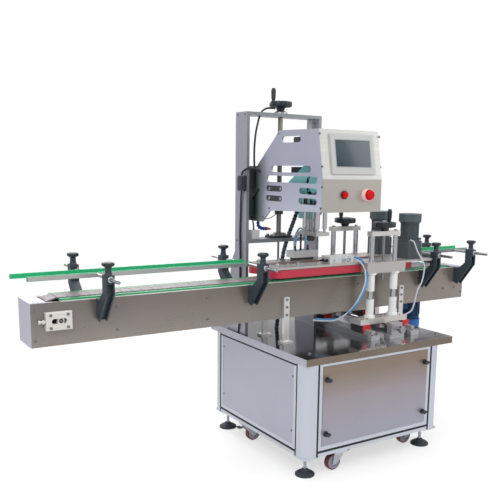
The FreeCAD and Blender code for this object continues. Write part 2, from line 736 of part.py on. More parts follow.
def head_frame():
    inside = (HEAD_LEFT + HEAD_PLATE, HEAD_RIGHT - HEAD_PLATE)
    base = block(inside, (-316.0, 196.0), (HEAD_BASE_Z, HEAD_BASE_Z + 8))
    z = (HEAD_BASE_Z - 1, HEAD_BASE_Z + 9)
    holes = [post(x, y, ROD_RADIUS + RUNNING, z) for x, y in capping_rods()]
    holes.append(post(CAPPING_X, 0, 10, z))
    holes.append(post(CAPPING_X, PISTON_Y, 6, z))
    holes.append(post(HEAD_CENTRE_X, SCREW_Y, 13, z))
    base = cut(base, holes)
    hole = post(CAPPING_X, 0, 10, (HEAD_SHELF_Z - 1, HEAD_SHELF_Z + 9))
    shelf = block(inside, (-62.0, 58.0), (HEAD_SHELF_Z, HEAD_SHELF_Z + 8)).cut(hole)
    cheeks = [
        block((inside[0], inside[0] + 10), (-78.0, 58.0), (HEAD_BASE_Z + 8, HEAD_SHELF_Z)),
        block((inside[1] - 10, inside[1]), (-78.0, 58.0), (HEAD_BASE_Z + 8, HEAD_SHELF_Z)),
    ]
    tie = bar_x(-248.0, 1262.0, 6, inside)
    plates = [head_side_plate(HEAD_LEFT), head_side_plate(HEAD_RIGHT - HEAD_PLATE)]
    return group(plates + cheeks + [base, shelf, tie])


def head_front_panel():
    """Bent sheet over the front edges of the side plates, cut for the screen and the two buttons."""
    outer = [(PANEL_FRONT_Y, 1001.0), (PANEL_FRONT_Y, 1120.0), (PANEL_FRONT_Y + 31, 1296.0)]
    inner = [(y + PANEL_THICK, z) for y, z in reversed(outer)]
    sheet = prism([(HEAD_LEFT, y, z) for y, z in outer + inner], (2 * HEAD_HALF_WIDTH, 0, 0))
    lip_x = (HEAD_LEFT + HEAD_PLATE + 1, HEAD_RIGHT - HEAD_PLATE - 1)
    lip = block(lip_x, (PANEL_FRONT_Y + 31 + PANEL_THICK - 1, -264.0), (1293.0, 1296.0))
    sheet = fuse([sheet, lip])
    holes = [bar_y(x, BUTTON_Z, BUTTON_HOLE_R, (-330, -300)) for x in (BUTTON_X, STOP_X)]
    window = leaned(block((-88, 88), (-20, 20), (-60, 60)))
    return cut(sheet, holes + [window])


def leaned(shape):
    """Move a shape drawn round the origin onto the leaning upper face of the front panel."""
    shape.rotate(vec(0, 0, 0), vec(1, 0, 0), -PANEL_LEAN)
    z = 1209.0
    y = PANEL_FRONT_Y + (z - 1120.0) * 31.0 / 176.0
    shape.translate(vec(HEAD_CENTRE_X + 4.5, y, z))
    return shape


def operator_screen():
    """Touch screen in its bezel, with the fixed collars of the two buttons."""
    bezel = block((-100, 100), (-7, 0), (-73, 73))
    bezel = bezel.makeFillet(4, edges_along_y(bezel))
    pocket = block((-80, 80), (-8, -5.5), (-46, 50))
    back = block((-86, 86), (0, 34), (-58, 58))
    screen = leaned(fuse([bezel.cut(pocket), back]))
    y = PANEL_FRONT_Y
    ring = bar_y(BUTTON_X, BUTTON_Z, 15, (y - 6, y)).cut(bar_y(BUTTON_X, BUTTON_Z, BUTTON_HOLE_R, (y - 7, y + 1)))
    guard = bar_y(STOP_X, BUTTON_Z, 23, (y - 18, y))
    hollow = [bar_y(STOP_X, BUTTON_Z, 20, (y - 19, y - 4)), bar_y(STOP_X, BUTTON_Z, BUTTON_HOLE_R, (y - 5, y + 1))]
    return group([screen, ring, cut(guard, hollow)])


def push_button():
    y = PANEL_FRONT_Y
    body = bar_y(BUTTON_X, BUTTON_Z, BUTTON_HOLE_R - RUNNING, (y - 12, y + 20))
    return body.makeFillet(2, edges_at_y(body, y - 12))


def emergency_stop():
    y = PANEL_FRONT_Y
    stem = bar_y(STOP_X, BUTTON_Z, BUTTON_HOLE_R - RUNNING, (y - 16, y + 20))
    cap = bar_y(STOP_X, BUTTON_Z, 17.5, (y - 30, y - 14))
    cap = cap.makeFillet(5, edges_at_y(cap, y - 30))
    return fuse([stem, cap])


def head_slides():
    """Rail blocks bolted to the head's side plates and the nut housing of the head screw."""
    solids = []
    left = COLUMN_X[0] + COLUMN_PLATE
    right = COLUMN_X[1] - COLUMN_PLATE
    y = (COLUMN_RAIL_Y - BLOCK_HALF, COLUMN_RAIL_Y + BLOCK_HALF)
    groove_y = (COLUMN_RAIL_Y - RAIL_HALF - RUNNING, COLUMN_RAIL_Y + RAIL_HALF + RUNNING)
    for z in ((962.0, 1032.0), (1078.0, 1148.0)):
        body = block((left + 5, HEAD_LEFT), y, z)
        solids.append(body.cut(block((left, left + RAIL_HIGH + RUNNING), groove_y, (z[0] - 1, z[1] + 1))))
        body = block((HEAD_RIGHT, right - 5), y, z)
        solids.append(body.cut(block((right - RAIL_HIGH - RUNNING, right), groove_y, (z[0] - 1, z[1] + 1))))
    nut = centred(HEAD_CENTRE_X, SCREW_Y, 52, 52, (HEAD_BASE_Z - 26, HEAD_BASE_Z))
    barrel = post(HEAD_CENTRE_X, SCREW_Y, 18, (HEAD_BASE_Z - 42, HEAD_BASE_Z - 26))
    bore = post(HEAD_CENTRE_X, SCREW_Y, SCREW_R + RUNNING, (HEAD_BASE_Z - 43, HEAD_BASE_Z + 1))
    solids.append(fuse([nut, barrel]).cut(bore))
    return group(solids)


def capping_drives():
    """Spindle motor on the shelf and the lift cylinder on the base plate."""
    low = HEAD_SHELF_Z + 8
    motor = post(CAPPING_X, 0, 30, (low, low + 110))
    end = post(CAPPING_X, 0, 25, (low + 110, low + 122))
    motor = fuse([motor, end]).cut(post(CAPPING_X, 0, SPINDLE_R + RUNNING, (low - 1, low + 92)))
    cylinder = post(CAPPING_X, PISTON_Y, 16, (HEAD_BASE_Z + 8, HEAD_SHELF_Z))
    cylinder = cylinder.cut(post(CAPPING_X, PISTON_Y, PISTON_R + RUNNING, (HEAD_BASE_Z + 7, HEAD_SHELF_Z - 4)))
    return group([motor, cylinder])


def grip_place(x, y, angle):
    """Axis of a handwheel's grip."""
    return x + GRIP_OUT * math.cos(math.radians(angle)), y + GRIP_OUT * math.sin(math.radians(angle))


def handwheel(x, y, z, grip_angle):
    """Solid handwheel with a tapered hub and the pin of its grip; z is the underside of the hub."""
    hub = [(0, z), (15, z), (19, z + 10), (27, z + 15)]
    rim = [(40, z + 15), (43, z + 18), (43, z + 33), (40, z + 36), (33, z + 36), (30, z + 33), (0, z + 33)]
    wheel = turned(x, y, hub + rim)
    gx, gy = grip_place(x, y, grip_angle)
    return fuse([wheel, post(gx, gy, GRIP_PIN_R, (z + 34, z + 80))])


def crank_grip(x, y, z, grip_angle):
    """Grip that turns on the handwheel's pin."""
    gx, gy = grip_place(x, y, grip_angle)
    pin = GRIP_PIN_R + RUNNING
    top = z + 80 + RUNNING
    outside = [(pin, z + 37), (7, z + 37), (7, z + 41), (9, z + 50), (10, z + 78), (7, z + 88), (0, z + 89)]
    return turned(gx, gy, outside + [(0, top), (pin, top)])


def head_handwheel():
    """Lead screw of the head with its handwheel."""
    x = HEAD_CENTRE_X
    low = CROSSBAR_Z[1]
    under = HEAD_WHEEL_Z
    neck = COLUMN_TOP - COLUMN_PLATE - 1
    lower_end = [(0, 722), (4.5, 722), (4.5, low), (8, low), (8, low + 22), (SCREW_R, low + 22)]
    upper_end = [(SCREW_R, neck), (9, neck), (9, under + 5), (0, under + 5)]
    screw = turned(x, SCREW_Y, lower_end + upper_end)
    return fuse([screw, handwheel(x, SCREW_Y, under, HEAD_GRIP_ANGLE)])


def head_crank_grip():
    return crank_grip(HEAD_CENTRE_X, SCREW_Y, HEAD_WHEEL_Z, HEAD_GRIP_ANGLE)


def lift_plate():
    """Plate under the head on four guide rods, pushed by the lift cylinder's rod."""
    low, high = LIFT_PLATE_Z
    plate = block((CAPPING_X - 33, CAPPING_X + 33), (-82.0, 34.0), LIFT_PLATE_Z)
    plate = plate.makeFillet(2, upright_edges(plate))
    plate = plate.cut(post(CAPPING_X, 0, SPINDLE_R + RUNNING, (low - 1, high + 1)))
    rods = []
    for x, y in capping_rods():
        profile = [(0, high), (5, high), (5, high + 12), (ROD_RADIUS - 1, high + 12), (ROD_RADIUS, high + 14)]
        rods.append(turned(x, y, profile + [(ROD_RADIUS, ROD_TOP), (0, ROD_TOP)]))
    piston = post(CAPPING_X, PISTON_Y, PISTON_R, (high, ROD_TOP))
    return fuse([plate, piston] + rods)


def capping_chuck():
    """Cap chuck on its spindle, with a collar under the lift plate."""
    low = LIFT_PLATE_Z[0]
    profile = [(0, low - 17), (SPINDLE_R, low - 17), (SPINDLE_R, low - 25), (13, low - 25), (16, low - 21),
               (16, low - 5), (10, low - 2.5), (10, low - 0.5), (SPINDLE_R, low - 0.5), (SPINDLE_R, SPINDLE_TOP),
               (0, SPINDLE_TOP)]
    return turned(CAPPING_X, 0, profile)


# ---------------------------------------------------------------- side-belt units


def unit_carriage(side):
    """Cross carriage with its nut, two posts and the portal bar above them."""
    y = across(side, (95, 165))
    plate = block((UNIT_CENTRE_X - 140, UNIT_CENTRE_X + 118), y, CARRIAGE_Z)
    nut = block((UNIT_CENTRE_X - 20, UNIT_CENTRE_X + 20), across(side, (112, 148)), (498.0, CARRIAGE_Z[0]))
    nut = nut.cut(bar_y(UNIT_CENTRE_X, CROSS_SCREW_Z, CROSS_SCREW_R + RUNNING, across(side, (110, 150))))
    cy = side * POST_Y
    portal = block((UNIT_CENTRE_X - 79, UNIT_CENTRE_X + 79), (cy - 15, cy + 15), PORTAL_Z)
    portal = portal.cut(post(UNIT_CENTRE_X, cy, LIFT_SCREW_R + RUNNING, (PORTAL_Z[0] - 1, PORTAL_Z[1] + 1)))
    solids = [plate, nut, portal]
    for x in POST_X:
        low = CARRIAGE_Z[1]
        solids.append(post(x, cy, POST_R, (low, PORTAL_Z[0])))
        profile = [(POST_R, low), (24, low), (24, low + 8), (17, low + 11), (17, 622), (POST_R, 622)]
        solids.append(turned(x, cy, profile))
    return fuse(solids)


def unit_slides(side):
    """Rail blocks under the carriage."""
    blocks = []
    for x in CROSS_X:
        y = across(side, (93, 167))
        body = block((x - BLOCK_HALF, x + BLOCK_HALF), y, (TABLE_TOP + CROSS_BAR_HIGH + 4, CARRIAGE_Z[0]))
        top = TABLE_TOP + CROSS_BAR_HIGH + RAIL_HIGH + RUNNING
        groove = block((x - RAIL_HALF - RUNNING, x + RAIL_HALF + RUNNING), (y[0] - 1, y[1] + 1), (TABLE_TOP, top))
        blocks.append(body.cut(groove))
    return group(blocks)


def unit_handwheel(side, grip_angle):
    """Height screw with its handwheel."""
    cy = side * POST_Y
    screw = post(UNIT_CENTRE_X, cy, LIFT_SCREW_R, (700.0, PORTAL_Z[1] + 6))
    return fuse([screw, handwheel(UNIT_CENTRE_X, cy, PORTAL_Z[1] + 1, grip_angle)])


def unit_belt_frame(side, cylinder_x, cylinder_z, foot):
    """Top plate, mounting block, belt support, flanged sleeves and the bottle-stop cylinder."""
    z = UNIT_PLATE_Z
    outline = [(-80, 28), (706, 28), (706, 155), (335, 155), (335, 112), (-80, 112)]
    plate = prism([(x, side * y, z[0]) for x, y in outline], (0, 0, z[1] - z[0]))
    mount = block((335.0, 547.0), across(side, (113, 155)), (735.0, z[0]))
    core = block((-5.0, 565.0), across(side, (38, 102)), (741.0, z[0]))
    pin_y = side * PULLEY_Y
    pin = post(PULLEY_X[0], pin_y, 7.5, (736.0, z[0]))
    washer = post(PULLEY_X[0], pin_y, 12, (733.5, 736.5))
    cylinder = block(cylinder_x, across(side, (44, 100)), (z[1] + foot, cylinder_z))
    solids = [plate, mount, core, pin, washer, cylinder]
    if foot:
        solids.append(block((cylinder_x[0] + 15, cylinder_x[1] - 15), across(side, (56, 92)), (z[1], z[1] + foot)))
    cy = side * POST_Y
    for x in POST_X:
        solids.append(turned(x, cy, [(0, 657), (17, 657), (17, 724), (24, 727), (24, 735), (0, 735)]))
    frame = fuse(solids)
    tall = (650.0, 900.0)
    holes = [post(x, cy, POST_R + RUNNING, tall) for x in POST_X]
    holes.append(post(UNIT_CENTRE_X, cy, LIFT_SCREW_R + RUNNING, tall))
    holes.append(post(PULLEY_X[1], pin_y, 9, (z[0] - 1, z[1] + 1)))
    return cut(frame, holes)


def unit_belt(side):
    y = side * PULLEY_Y
    outer = stadium(PULLEY_X, y, BELT_OUTER_R, BELT_Z)
    inner = stadium(PULLEY_X, y, BELT_OUTER_R - BELT_THICK, (BELT_Z[0] - 1, BELT_Z[1] + 1))
    return outer.cut(inner)


def unit_gear_motor(side):
    """Gearhead with its motor standing on the top plate."""
    low = UNIT_PLATE_Z[1]
    cx = 620.0
    cy = side * 95.0
    case = centred(cx, cy, 80, 80, (low, low + 76))
    case = case.makeFillet(5, upright_edges(case))
    case = case.cut(post(PULLEY_X[1], side * PULLEY_Y, 8 + RUNNING, (low - 1, low + 22)))
    motor = post(cx, cy, 38, (low + 76, low + 159))
    cap = polygon(cx, cy, 52, 8, 22.5, (low + 159, low + 193))
    gland = bar_x(cy - 20, low + 84, 5, (cx + 34, cx + 48))
    return fuse([case, motor, cap, gland])


def unit_drive_pulley(side):
    y = side * PULLEY_Y
    z = BELT_Z
    wheel = post(PULLEY_X[1], y, PULLEY_R, (z[0] + 1, z[1] - 1))
    shaft = post(PULLEY_X[1], y, 8, (z[0] + 1, UNIT_PLATE_Z[1] + 20))
    return fuse([wheel, shaft])


def unit_idler_pulley(side):
    y = side * PULLEY_Y
    z = (BELT_Z[0] + 1, BELT_Z[1] - 1)
    wheel = post(PULLEY_X[0], y, PULLEY_R, z)
    return wheel.cut(post(PULLEY_X[0], y, 7.5 + RUNNING, z))


# ---------------------------------------------------------------- fasteners


def screw_head(x, y, z, side, r, high):
    """A low round head standing on a face that looks towards side * y."""
    return bar_y(x, z, r, (y, y + side * high))


def bracket_covers(side, x, z):
    """True where the foot of a guide bracket covers that spot of the side channel."""
    near = [bx for s, xs, _ in BRACKETS.values() for bx in xs if s == side and abs(x - bx) < 21]
    return z > 636 and len(near) > 0


def fasteners():
    """Bolts on the table, the legs, the side channels, the bearing blocks and the column."""
    heads = []
    for x, y in ((-33, -268), (292, -280), (640, -266), (-33, 340), (253, 300), (640, 340)):
        heads.append(turned(x, y, [(0, TABLE_TOP), (7, TABLE_TOP), (6, TABLE_TOP + 4), (0, TABLE_TOP + 5)]))
    web = BEAM_HALF_WIDTH
    for s in (-1, 1):
        for x in LEG_X:
            heads += [screw_head(x, s * (web + 12), z, s, 5, 4) for z in (585.0, 616.0, 646.0)]
        spots = [(x, z) for x in SPACER_X for z in SPACER_Z if x != 0.0]
        heads += [screw_head(x, s * web, z, s, 4.5, 3) for x, z in spots if not bracket_covers(s, x, z)]
        for x, z in ((-985, 592), (-985, 690), (990, 596)):
            heads.append(screw_head(x, s * web, z, s, 4, 2.5))
        for dx in (-34, 22):
            heads += [screw_head(IDLER_X + dx, s * (web + 20), SHAFT_Z + dz, s, 5, 2) for dz in (-21, 21)]
    for dx, dz in ((-36, -34), (-36, 36), (36, -34), (36, 36)):
        if not bracket_covers(-1, DRIVE_X + dx, SHAFT_Z + dz):
            heads.append(screw_head(DRIVE_X + dx, -web, SHAFT_Z + dz, -1, 5, 3))
    for x, direction in ((COLUMN_X[0], -1), (COLUMN_X[1], 1)):
        for y, z in ((135, 1366), (190, 1366), (150, 859.5), (190, 859.5)):
            span = tuple(sorted((x, x + direction * 2)))
            heads.append(bar_x(y, z, 4, span))
    return group(heads)


NODES = {
    "cabinet_frame": cabinet_frame,
    "slot_strips": slot_strips,
    "cabinet_panels": cabinet_panels,
    "cabinet_door": cabinet_door,
    "door_knobs": door_knobs,
    "table_top": table_top,
    "fasteners": fasteners,
    "levelling_feet": levelling_feet,
    "caster_forks": caster_forks,
    "conveyor_sides": conveyor_sides,
    "conveyor_end_covers": conveyor_end_covers,
    "conveyor_supports": conveyor_supports,
    "slat_chain": slat_chain,
    "wear_strips": wear_strips,
    "shaft_bearings": shaft_bearings,
    "drive_shaft": drive_shaft,
    "idler_shaft": idler_shaft,
    "conveyor_gear_motor": conveyor_gear_motor,
    "guide_brackets": guide_brackets,
    "column_frame": column_frame,
    "screw_bearings": screw_bearings,
    "linear_rails": linear_rails,
    "cross_screw": cross_screw,
    "head_frame": head_frame,
    "head_front_panel": head_front_panel,
    "operator_screen": operator_screen,
    "push_button": push_button,
    "emergency_stop": emergency_stop,
    "head_slides": head_slides,
    "capping_drives": capping_drives,
    "head_handwheel": head_handwheel,
    "head_crank_grip": head_crank_grip,
    "lift_plate": lift_plate,
    "capping_chuck": capping_chuck,
}

os.makedirs("parts", exist_ok=True)


def save(name, shape):
    shape.translate(SHIFT)
    shape.exportStep("parts/" + name + ".step")


for node, make in NODES.items():
    save(node, make())

for number, caster in enumerate(CASTERS, start=1):
    save("caster_wheel_%d" % number, caster_wheel(*caster))

for place, (rail_side, rod_x, rail_span) in BRACKETS.items():
    save("guide_rail_" + place, guide_rail(rail_side, rod_x, rail_span))

UNITS = (
    ("front", -1, 15, (182.0, 306.0), 806.0, 0.0),
    ("rear", 1, 200, (105.0, 231.0), 818.0, 11.0),
)
for unit, unit_side, angle, stop_x, stop_z, stop_foot in UNITS:
    save(unit + "_carriage", unit_carriage(unit_side))
    save(unit + "_slides", unit_slides(unit_side))
    save(unit + "_handwheel", unit_handwheel(unit_side, angle))
    save(unit + "_crank_grip", crank_grip(UNIT_CENTRE_X, unit_side * POST_Y, PORTAL_Z[1] + 1, angle))
    save(unit + "_belt_frame", unit_belt_frame(unit_side, stop_x, stop_z, stop_foot))
    save(unit + "_belt", unit_belt(unit_side))
    save(unit + "_gear_motor", unit_gear_motor(unit_side))
    save(unit + "_drive_pulley", unit_drive_pulley(unit_side))
    save(unit + "_idler_pulley", unit_idler_pulley(unit_side))
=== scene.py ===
import math

import bmesh
import bpy
from mathutils import Matrix, Vector


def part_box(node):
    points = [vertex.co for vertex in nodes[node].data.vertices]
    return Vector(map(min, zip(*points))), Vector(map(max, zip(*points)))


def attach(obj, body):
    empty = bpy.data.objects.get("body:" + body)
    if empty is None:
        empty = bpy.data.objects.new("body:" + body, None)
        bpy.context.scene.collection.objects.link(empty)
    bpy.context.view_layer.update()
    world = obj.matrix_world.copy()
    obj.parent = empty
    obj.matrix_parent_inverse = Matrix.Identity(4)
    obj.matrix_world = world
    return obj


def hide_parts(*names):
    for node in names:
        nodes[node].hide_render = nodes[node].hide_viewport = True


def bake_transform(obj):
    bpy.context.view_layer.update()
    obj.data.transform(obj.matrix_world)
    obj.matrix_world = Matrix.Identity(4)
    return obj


# Looks of the linear capping machine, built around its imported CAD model.
# Lengths below are millimetres counted along the conveyor from its mid length (x), from its centre
# line (y, with -y the operator's side) and up from the floor (z). at() turns them into the frame's metres.

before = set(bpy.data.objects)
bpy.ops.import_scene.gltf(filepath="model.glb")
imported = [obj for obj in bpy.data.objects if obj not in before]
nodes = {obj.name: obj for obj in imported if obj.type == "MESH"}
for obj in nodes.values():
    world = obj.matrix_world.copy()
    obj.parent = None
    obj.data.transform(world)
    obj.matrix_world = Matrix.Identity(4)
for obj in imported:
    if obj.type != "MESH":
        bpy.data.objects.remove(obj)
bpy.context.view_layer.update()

MM = 0.001
cover_low, cover_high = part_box("conveyor_end_covers")
ORIGIN = Vector(((cover_low.x + cover_high.x) / 2, (cover_low.y + cover_high.y) / 2, 0.0))
X, Y, Z = Vector((1, 0, 0)), Vector((0, 1, 0)), Vector((0, 0, 1))


def at(x, y, z):
    return ORIGIN + Vector((x, y, z)) * MM


def machine(point):
    """A point of the frame back in machine millimetres."""
    return (point - ORIGIN) / MM


# ---------------------------------------------------------------- colours and materials


def rgb(code):
    """A colour written as six hex digits, as the linear values the shaders use."""
    out = []
    for i in (0, 2, 4):
        c = int(code[i:i + 2], 16) / 255
        c = c / 12.92 if c <= 0.04045 else ((c + 0.055) / 1.055) ** 2.4
        out.append(c)
    return (*out, 1.0)


class Look:
    """A node-built material round one principled surface, with later finishes laid over earlier ones."""

    def __init__(self, name, tone, roughness, metallic=0.0):
        self.material = bpy.data.materials.new(name)
        self.material.use_nodes = True
        self.tree = self.material.node_tree
        self.shader = self.tree.nodes["Principled BSDF"]
        self.coords = self.node("ShaderNodeTexCoord").outputs["Object"]
        self.tone = rgb(tone)
        self.roughness = roughness
        self.metallic = metallic
        self.height = None

    def node(self, kind, **settings):
        made = self.tree.nodes.new(kind)
        for key, value in settings.items():
            setattr(made, key, value)
        return made

    def put(self, socket, value):
        if isinstance(value, bpy.types.NodeSocket):
            self.tree.links.new(value, socket)
        else:
            socket.default_value = value

    def math(self, operation, a, b=0.0):
        made = self.node("ShaderNodeMath", operation=operation, use_clamp=True)
        self.put(made.inputs[0], a)
        self.put(made.inputs[1], b)
        return made.outputs[0]

    def noise(self, scale, stretch=(1.0, 1.0, 1.0), detail=2.0):
        """Noise with scale features per metre, stretched by one factor per axis."""
        mapping = self.node("ShaderNodeMapping")
        self.put(mapping.inputs["Vector"], self.coords)
        self.put(mapping.inputs["Scale"], stretch)
        made = self.node("ShaderNodeTexNoise")
        self.put(made.inputs["Vector"], mapping.outputs[0])
        self.put(made.inputs["Scale"], scale)
        self.put(made.inputs["Detail"], detail)
        return made.outputs["Fac"]

    def spread(self, value, start, end, low=0.0, high=1.0):
        """value from start to end becomes low to high, held beyond them."""
        made = self.node("ShaderNodeMapRange")
        for socket, number in zip(made.inputs[:5], (value, start, end, low, high)):
            self.put(socket, number)
        return made.outputs[0]

    def mix(self, share, a, b):
        made = self.node("ShaderNodeMix", data_type="RGBA")
        self.put(made.inputs[0], share)
        self.put(made.inputs[6], a)
        self.put(made.inputs[7], b)
        return made.outputs[2]

    def blend(self, share, a, b):
        made = self.node("ShaderNodeMix", data_type="FLOAT")
        self.put(made.inputs[0], share)
        self.put(made.inputs[2], a)
        self.put(made.inputs[3], b)
        return made.outputs[0]

    def along(self, direction, start, end):
        """0 before start and 1 after end, in machine millimetres along a direction."""
        made = self.node("ShaderNodeVectorMath", operation="DOT_PRODUCT")
        self.put(made.inputs[0], self.coords)
        self.put(made.inputs[1], direction)
        zero = ORIGIN.dot(direction)
        return self.spread(made.outputs["Value"], zero + start * MM, zero + end * MM)

    def between(self, direction, low, high, soft=0.4):
        """1 between two planes across a direction."""
        after = self.along(direction, low - soft, low + soft)
        before = self.along(direction, high + soft, high - soft)
        return self.math("MULTIPLY", after, before)

    def near_axis(self, centre, axis, radius, soft=0.5):
        """1 closer to a straight axis than radius."""
        away = self.node("ShaderNodeVectorMath", operation="SUBTRACT")
        self.put(away.inputs[0], self.coords)
        self.put(away.inputs[1], at(*centre))
        flat = self.node("ShaderNodeVectorMath", operation="MULTIPLY")
        self.put(flat.inputs[0], away.outputs[0])
        self.put(flat.inputs[1], Vector((1, 1, 1)) - Vector(axis))
        size = self.node("ShaderNodeVectorMath", operation="LENGTH")
        self.put(size.inputs[0], flat.outputs[0])
        return self.spread(size.outputs["Value"], (radius + soft) * MM, (radius - soft) * MM)

    def facing(self, direction, least=0.7):
        """1 on faces that look towards a direction."""
        normal = self.node("ShaderNodeNewGeometry").outputs["Normal"]
        made = self.node("ShaderNodeVectorMath", operation="DOT_PRODUCT")
        self.put(made.inputs[0], normal)
        self.put(made.inputs[1], direction)
        return self.spread(made.outputs["Value"], least - 0.05, least + 0.05)

    def over(self, mask, tone=None, roughness=None, metallic=None):
        """Lay another finish where mask is 1."""
        if tone is not None:
            self.tone = self.mix(mask, self.tone, rgb(tone))
        if roughness is not None:
            self.roughness = self.blend(mask, self.roughness, roughness)
        if metallic is not None:
            self.metallic = self.blend(mask, self.metallic, metallic)
        return self

    def vary(self, noise, light=0.06, rough=0.08):
        """Let a noise lighten and dull the surface a little."""
        level = self.spread(noise, 0.3, 0.7)
        made = self.node("ShaderNodeHueSaturation")
        self.put(made.inputs["Value"], self.spread(level, 0.0, 1.0, 1 - light, 1 + light))
        self.put(made.inputs["Color"], self.tone)
        self.tone = made.outputs["Color"]
        made = self.node("ShaderNodeMath", operation="ADD")
        self.put(made.inputs[0], self.roughness)
        self.put(made.inputs[1], self.spread(level, 0.0, 1.0, -rough, rough))
        self.roughness = made.outputs[0]
        return self

    def relief(self, noise, depth):
        """Raise the surface by a noise, depth in millimetres."""
        made = self.node("ShaderNodeBump")
        self.put(made.inputs["Strength"], 1.0)
        self.put(made.inputs["Distance"], depth * MM)
        self.put(made.inputs["Height"], noise)
        if self.height is not None:
            self.put(made.inputs["Normal"], self.height)
        self.height = made.outputs["Normal"]
        return self

    def brushed(self, direction, strength=0.06):
        """Fine parallel scratches along a direction."""
        lines = self.noise(1.0, [4.0 if abs(c) > 0.5 else 420.0 for c in direction], 1.0)
        broad = self.noise(1.0, [1.0 if abs(c) > 0.5 else 60.0 for c in direction], 1.0)
        return self.vary(lines, strength * 0.25, 0.004).vary(broad, strength * 0.2, 0.006).smudged(0.02, 0.03)

    def moulded(self, grain=1500.0, depth=0.05, light=0.05):
        """The fine even grain of moulded plastic or textured paint."""
        fine = self.noise(grain)
        return self.vary(fine, light, 0.04).relief(fine, depth).smudged()

    def smudged(self, light=0.03, rough=0.07):
        """Broad faint clouds from handling and dust."""
        return self.vary(self.noise(9.0, detail=4.0), light, rough)

    def done(self, **inputs):
        self.put(self.shader.inputs["Base Color"], self.tone)
        self.put(self.shader.inputs["Roughness"], self.roughness)
        self.put(self.shader.inputs["Metallic"], self.metallic)
        if self.height is not None:
            self.put(self.shader.inputs["Normal"], self.height)
        for key, value in inputs.items():
            self.put(self.shader.inputs[key.replace("_", " ")], value)
        return self.material


def metal(name, tone, roughness=0.3, brush=None, metallic=0.9, strength=0.06):
    look = Look(name, tone, roughness, metallic)
    if brush is not None:
        return look.brushed(brush, strength)
    return look.vary(look.noise(60.0, detail=4.0), 0.04, 0.05).smudged()


def plastic(name, tone, roughness=0.45, grain=1500.0, depth=0.04):
    return Look(name, tone, roughness).moulded(grain, depth)


# ---------------------------------------------------------------- meshes


def basis(axis):
    axis = Vector(axis).normalized()
    other = Z if abs(axis.z) < 0.9 else X
    u = other.cross(axis).normalized()
    return u, axis.cross(u), axis


class Shape:
    """Vertices and faces of one piece, gathered from simple lofts."""

    def __init__(self):
        self.verts = []
        self.faces = []

    def loft(self, rings, start=True, end=True):
        first, count = len(self.verts), len(rings[0])
        for ring in rings:
            self.verts.extend(ring)
        for k in range(len(rings) - 1):
            a = first + k * count
            b = a + count
            for i in range(count):
                j = (i + 1) % count
                self.faces.append((a + i, a + j, b + j, b + i))
        last = first + (len(rings) - 1) * count
        if start:
            self.faces.append(tuple(range(first + count - 1, first - 1, -1)))
        if end:
            self.faces.append(tuple(range(last, last + count)))
        return self

    def turned(self, base, axis, profile, count=32, wave=None):
        """A body turned about an axis from a (radius, height) profile; wave scales the radii by angle."""
        u, v, w = basis(axis)
        rings = []
        for r, h in profile:
            ring = []
            for i in range(count):
                a = 2 * math.pi * i / count
                size = max(r, 0.01) * (wave(a, r) if wave else 1.0)
                ring.append(base + (u * math.cos(a) + v * math.sin(a)) * size * MM + w * h * MM)
            rings.append(ring)
        return self.loft(rings)

    def bolt(self, base, axis, r, high):
        """A socket-head screw with a hexagonal recess."""
        u, v, w = basis(axis)
        count = 24

        def ring(size, h, six=False):
            out = []
            for i in range(count):
                a = 2 * math.pi * i / count
                if six:
                    part = (a + math.pi / 6) % (math.pi / 3) - math.pi / 6
                    reach = size * math.cos(math.pi / 6) / math.cos(part)
                else:
                    reach = size
                out.append(base + (u * math.cos(a) + v * math.sin(a)) * reach * MM + w * h * MM)
            return out

        rings = [ring(r, -0.3), ring(r, high * 0.75), ring(r * 0.93, high * 0.95), ring(r * 0.84, high)]
        rings += [ring(r * 0.56, high, True), ring(r * 0.53, high * 0.35, True)]
        return self.loft(rings)

    def soft_box(self, x, y, z, r, chamfer=1.0):
        """A box with rounded upright corners and chamfered ends."""
        cx, cy = (x[0] + x[1]) / 2, (y[0] + y[1]) / 2
        wide, deep = (x[1] - x[0]) / 2, (y[1] - y[0]) / 2
        rings = []
        for h, inset in ((z[0], chamfer), (z[0] + chamfer, 0), (z[1] - chamfer, 0), (z[1], chamfer)):
            ring = []
            for i in range(24):
                a = 2 * math.pi * (i + 0.5) / 24
                sx = 1 if math.cos(a) > 0 else -1
                sy = 1 if math.sin(a) > 0 else -1
                px = cx + sx * (wide - r) + (r - inset) * math.cos(a)
                py = cy + sy * (deep - r) + (r - inset) * math.sin(a)
                ring.append(at(px, py, h))
            rings.append(ring)
        return self.loft(rings)

    def tube(self, points, radius, count=12, steps=10, wave=None):
        """A round tube through points, smooth between them; wave scales the radius along it."""
        path = smooth_path(points, steps)
        total = len(path)
        u, v, _ = basis(path[1] - path[0])
        rings = []
        run = 0.0
        for k, p in enumerate(path):
            ahead = path[min(k + 1, total - 1)]
            behind = path[max(k - 1, 0)]
            run += (p - path[k - 1]).length / MM if k else 0.0
            w = (ahead - behind).normalized()
            u = (u - w * u.dot(w)).normalized()
            v = w.cross(u)
            size = radius * MM * (wave(run) if wave else 1.0)
            rings.append([p + (u * math.cos(a) + v * math.sin(a)) * size
                          for a in (2 * math.pi * i / count for i in range(count))])
        return self.loft(rings)


def smooth_path(points, steps):
    """A Catmull-Rom curve through machine points, in frame metres."""
    p = [at(*q) for q in points]
    p = [p[0] * 2 - p[1]] + p + [p[-1] * 2 - p[-2]]
    out = []
    for i in range(1, len(p) - 2):
        for s in range(steps):
            t = s / steps
            a, b, c, d = p[i - 1], p[i], p[i + 1], p[i + 2]
            out.append(0.5 * (2 * b + (c - a) * t + (2 * a - 5 * b + 4 * c - d) * t ** 2
                              + (3 * b - a - 3 * c + d) * t ** 3))
    return out + [p[-2]]


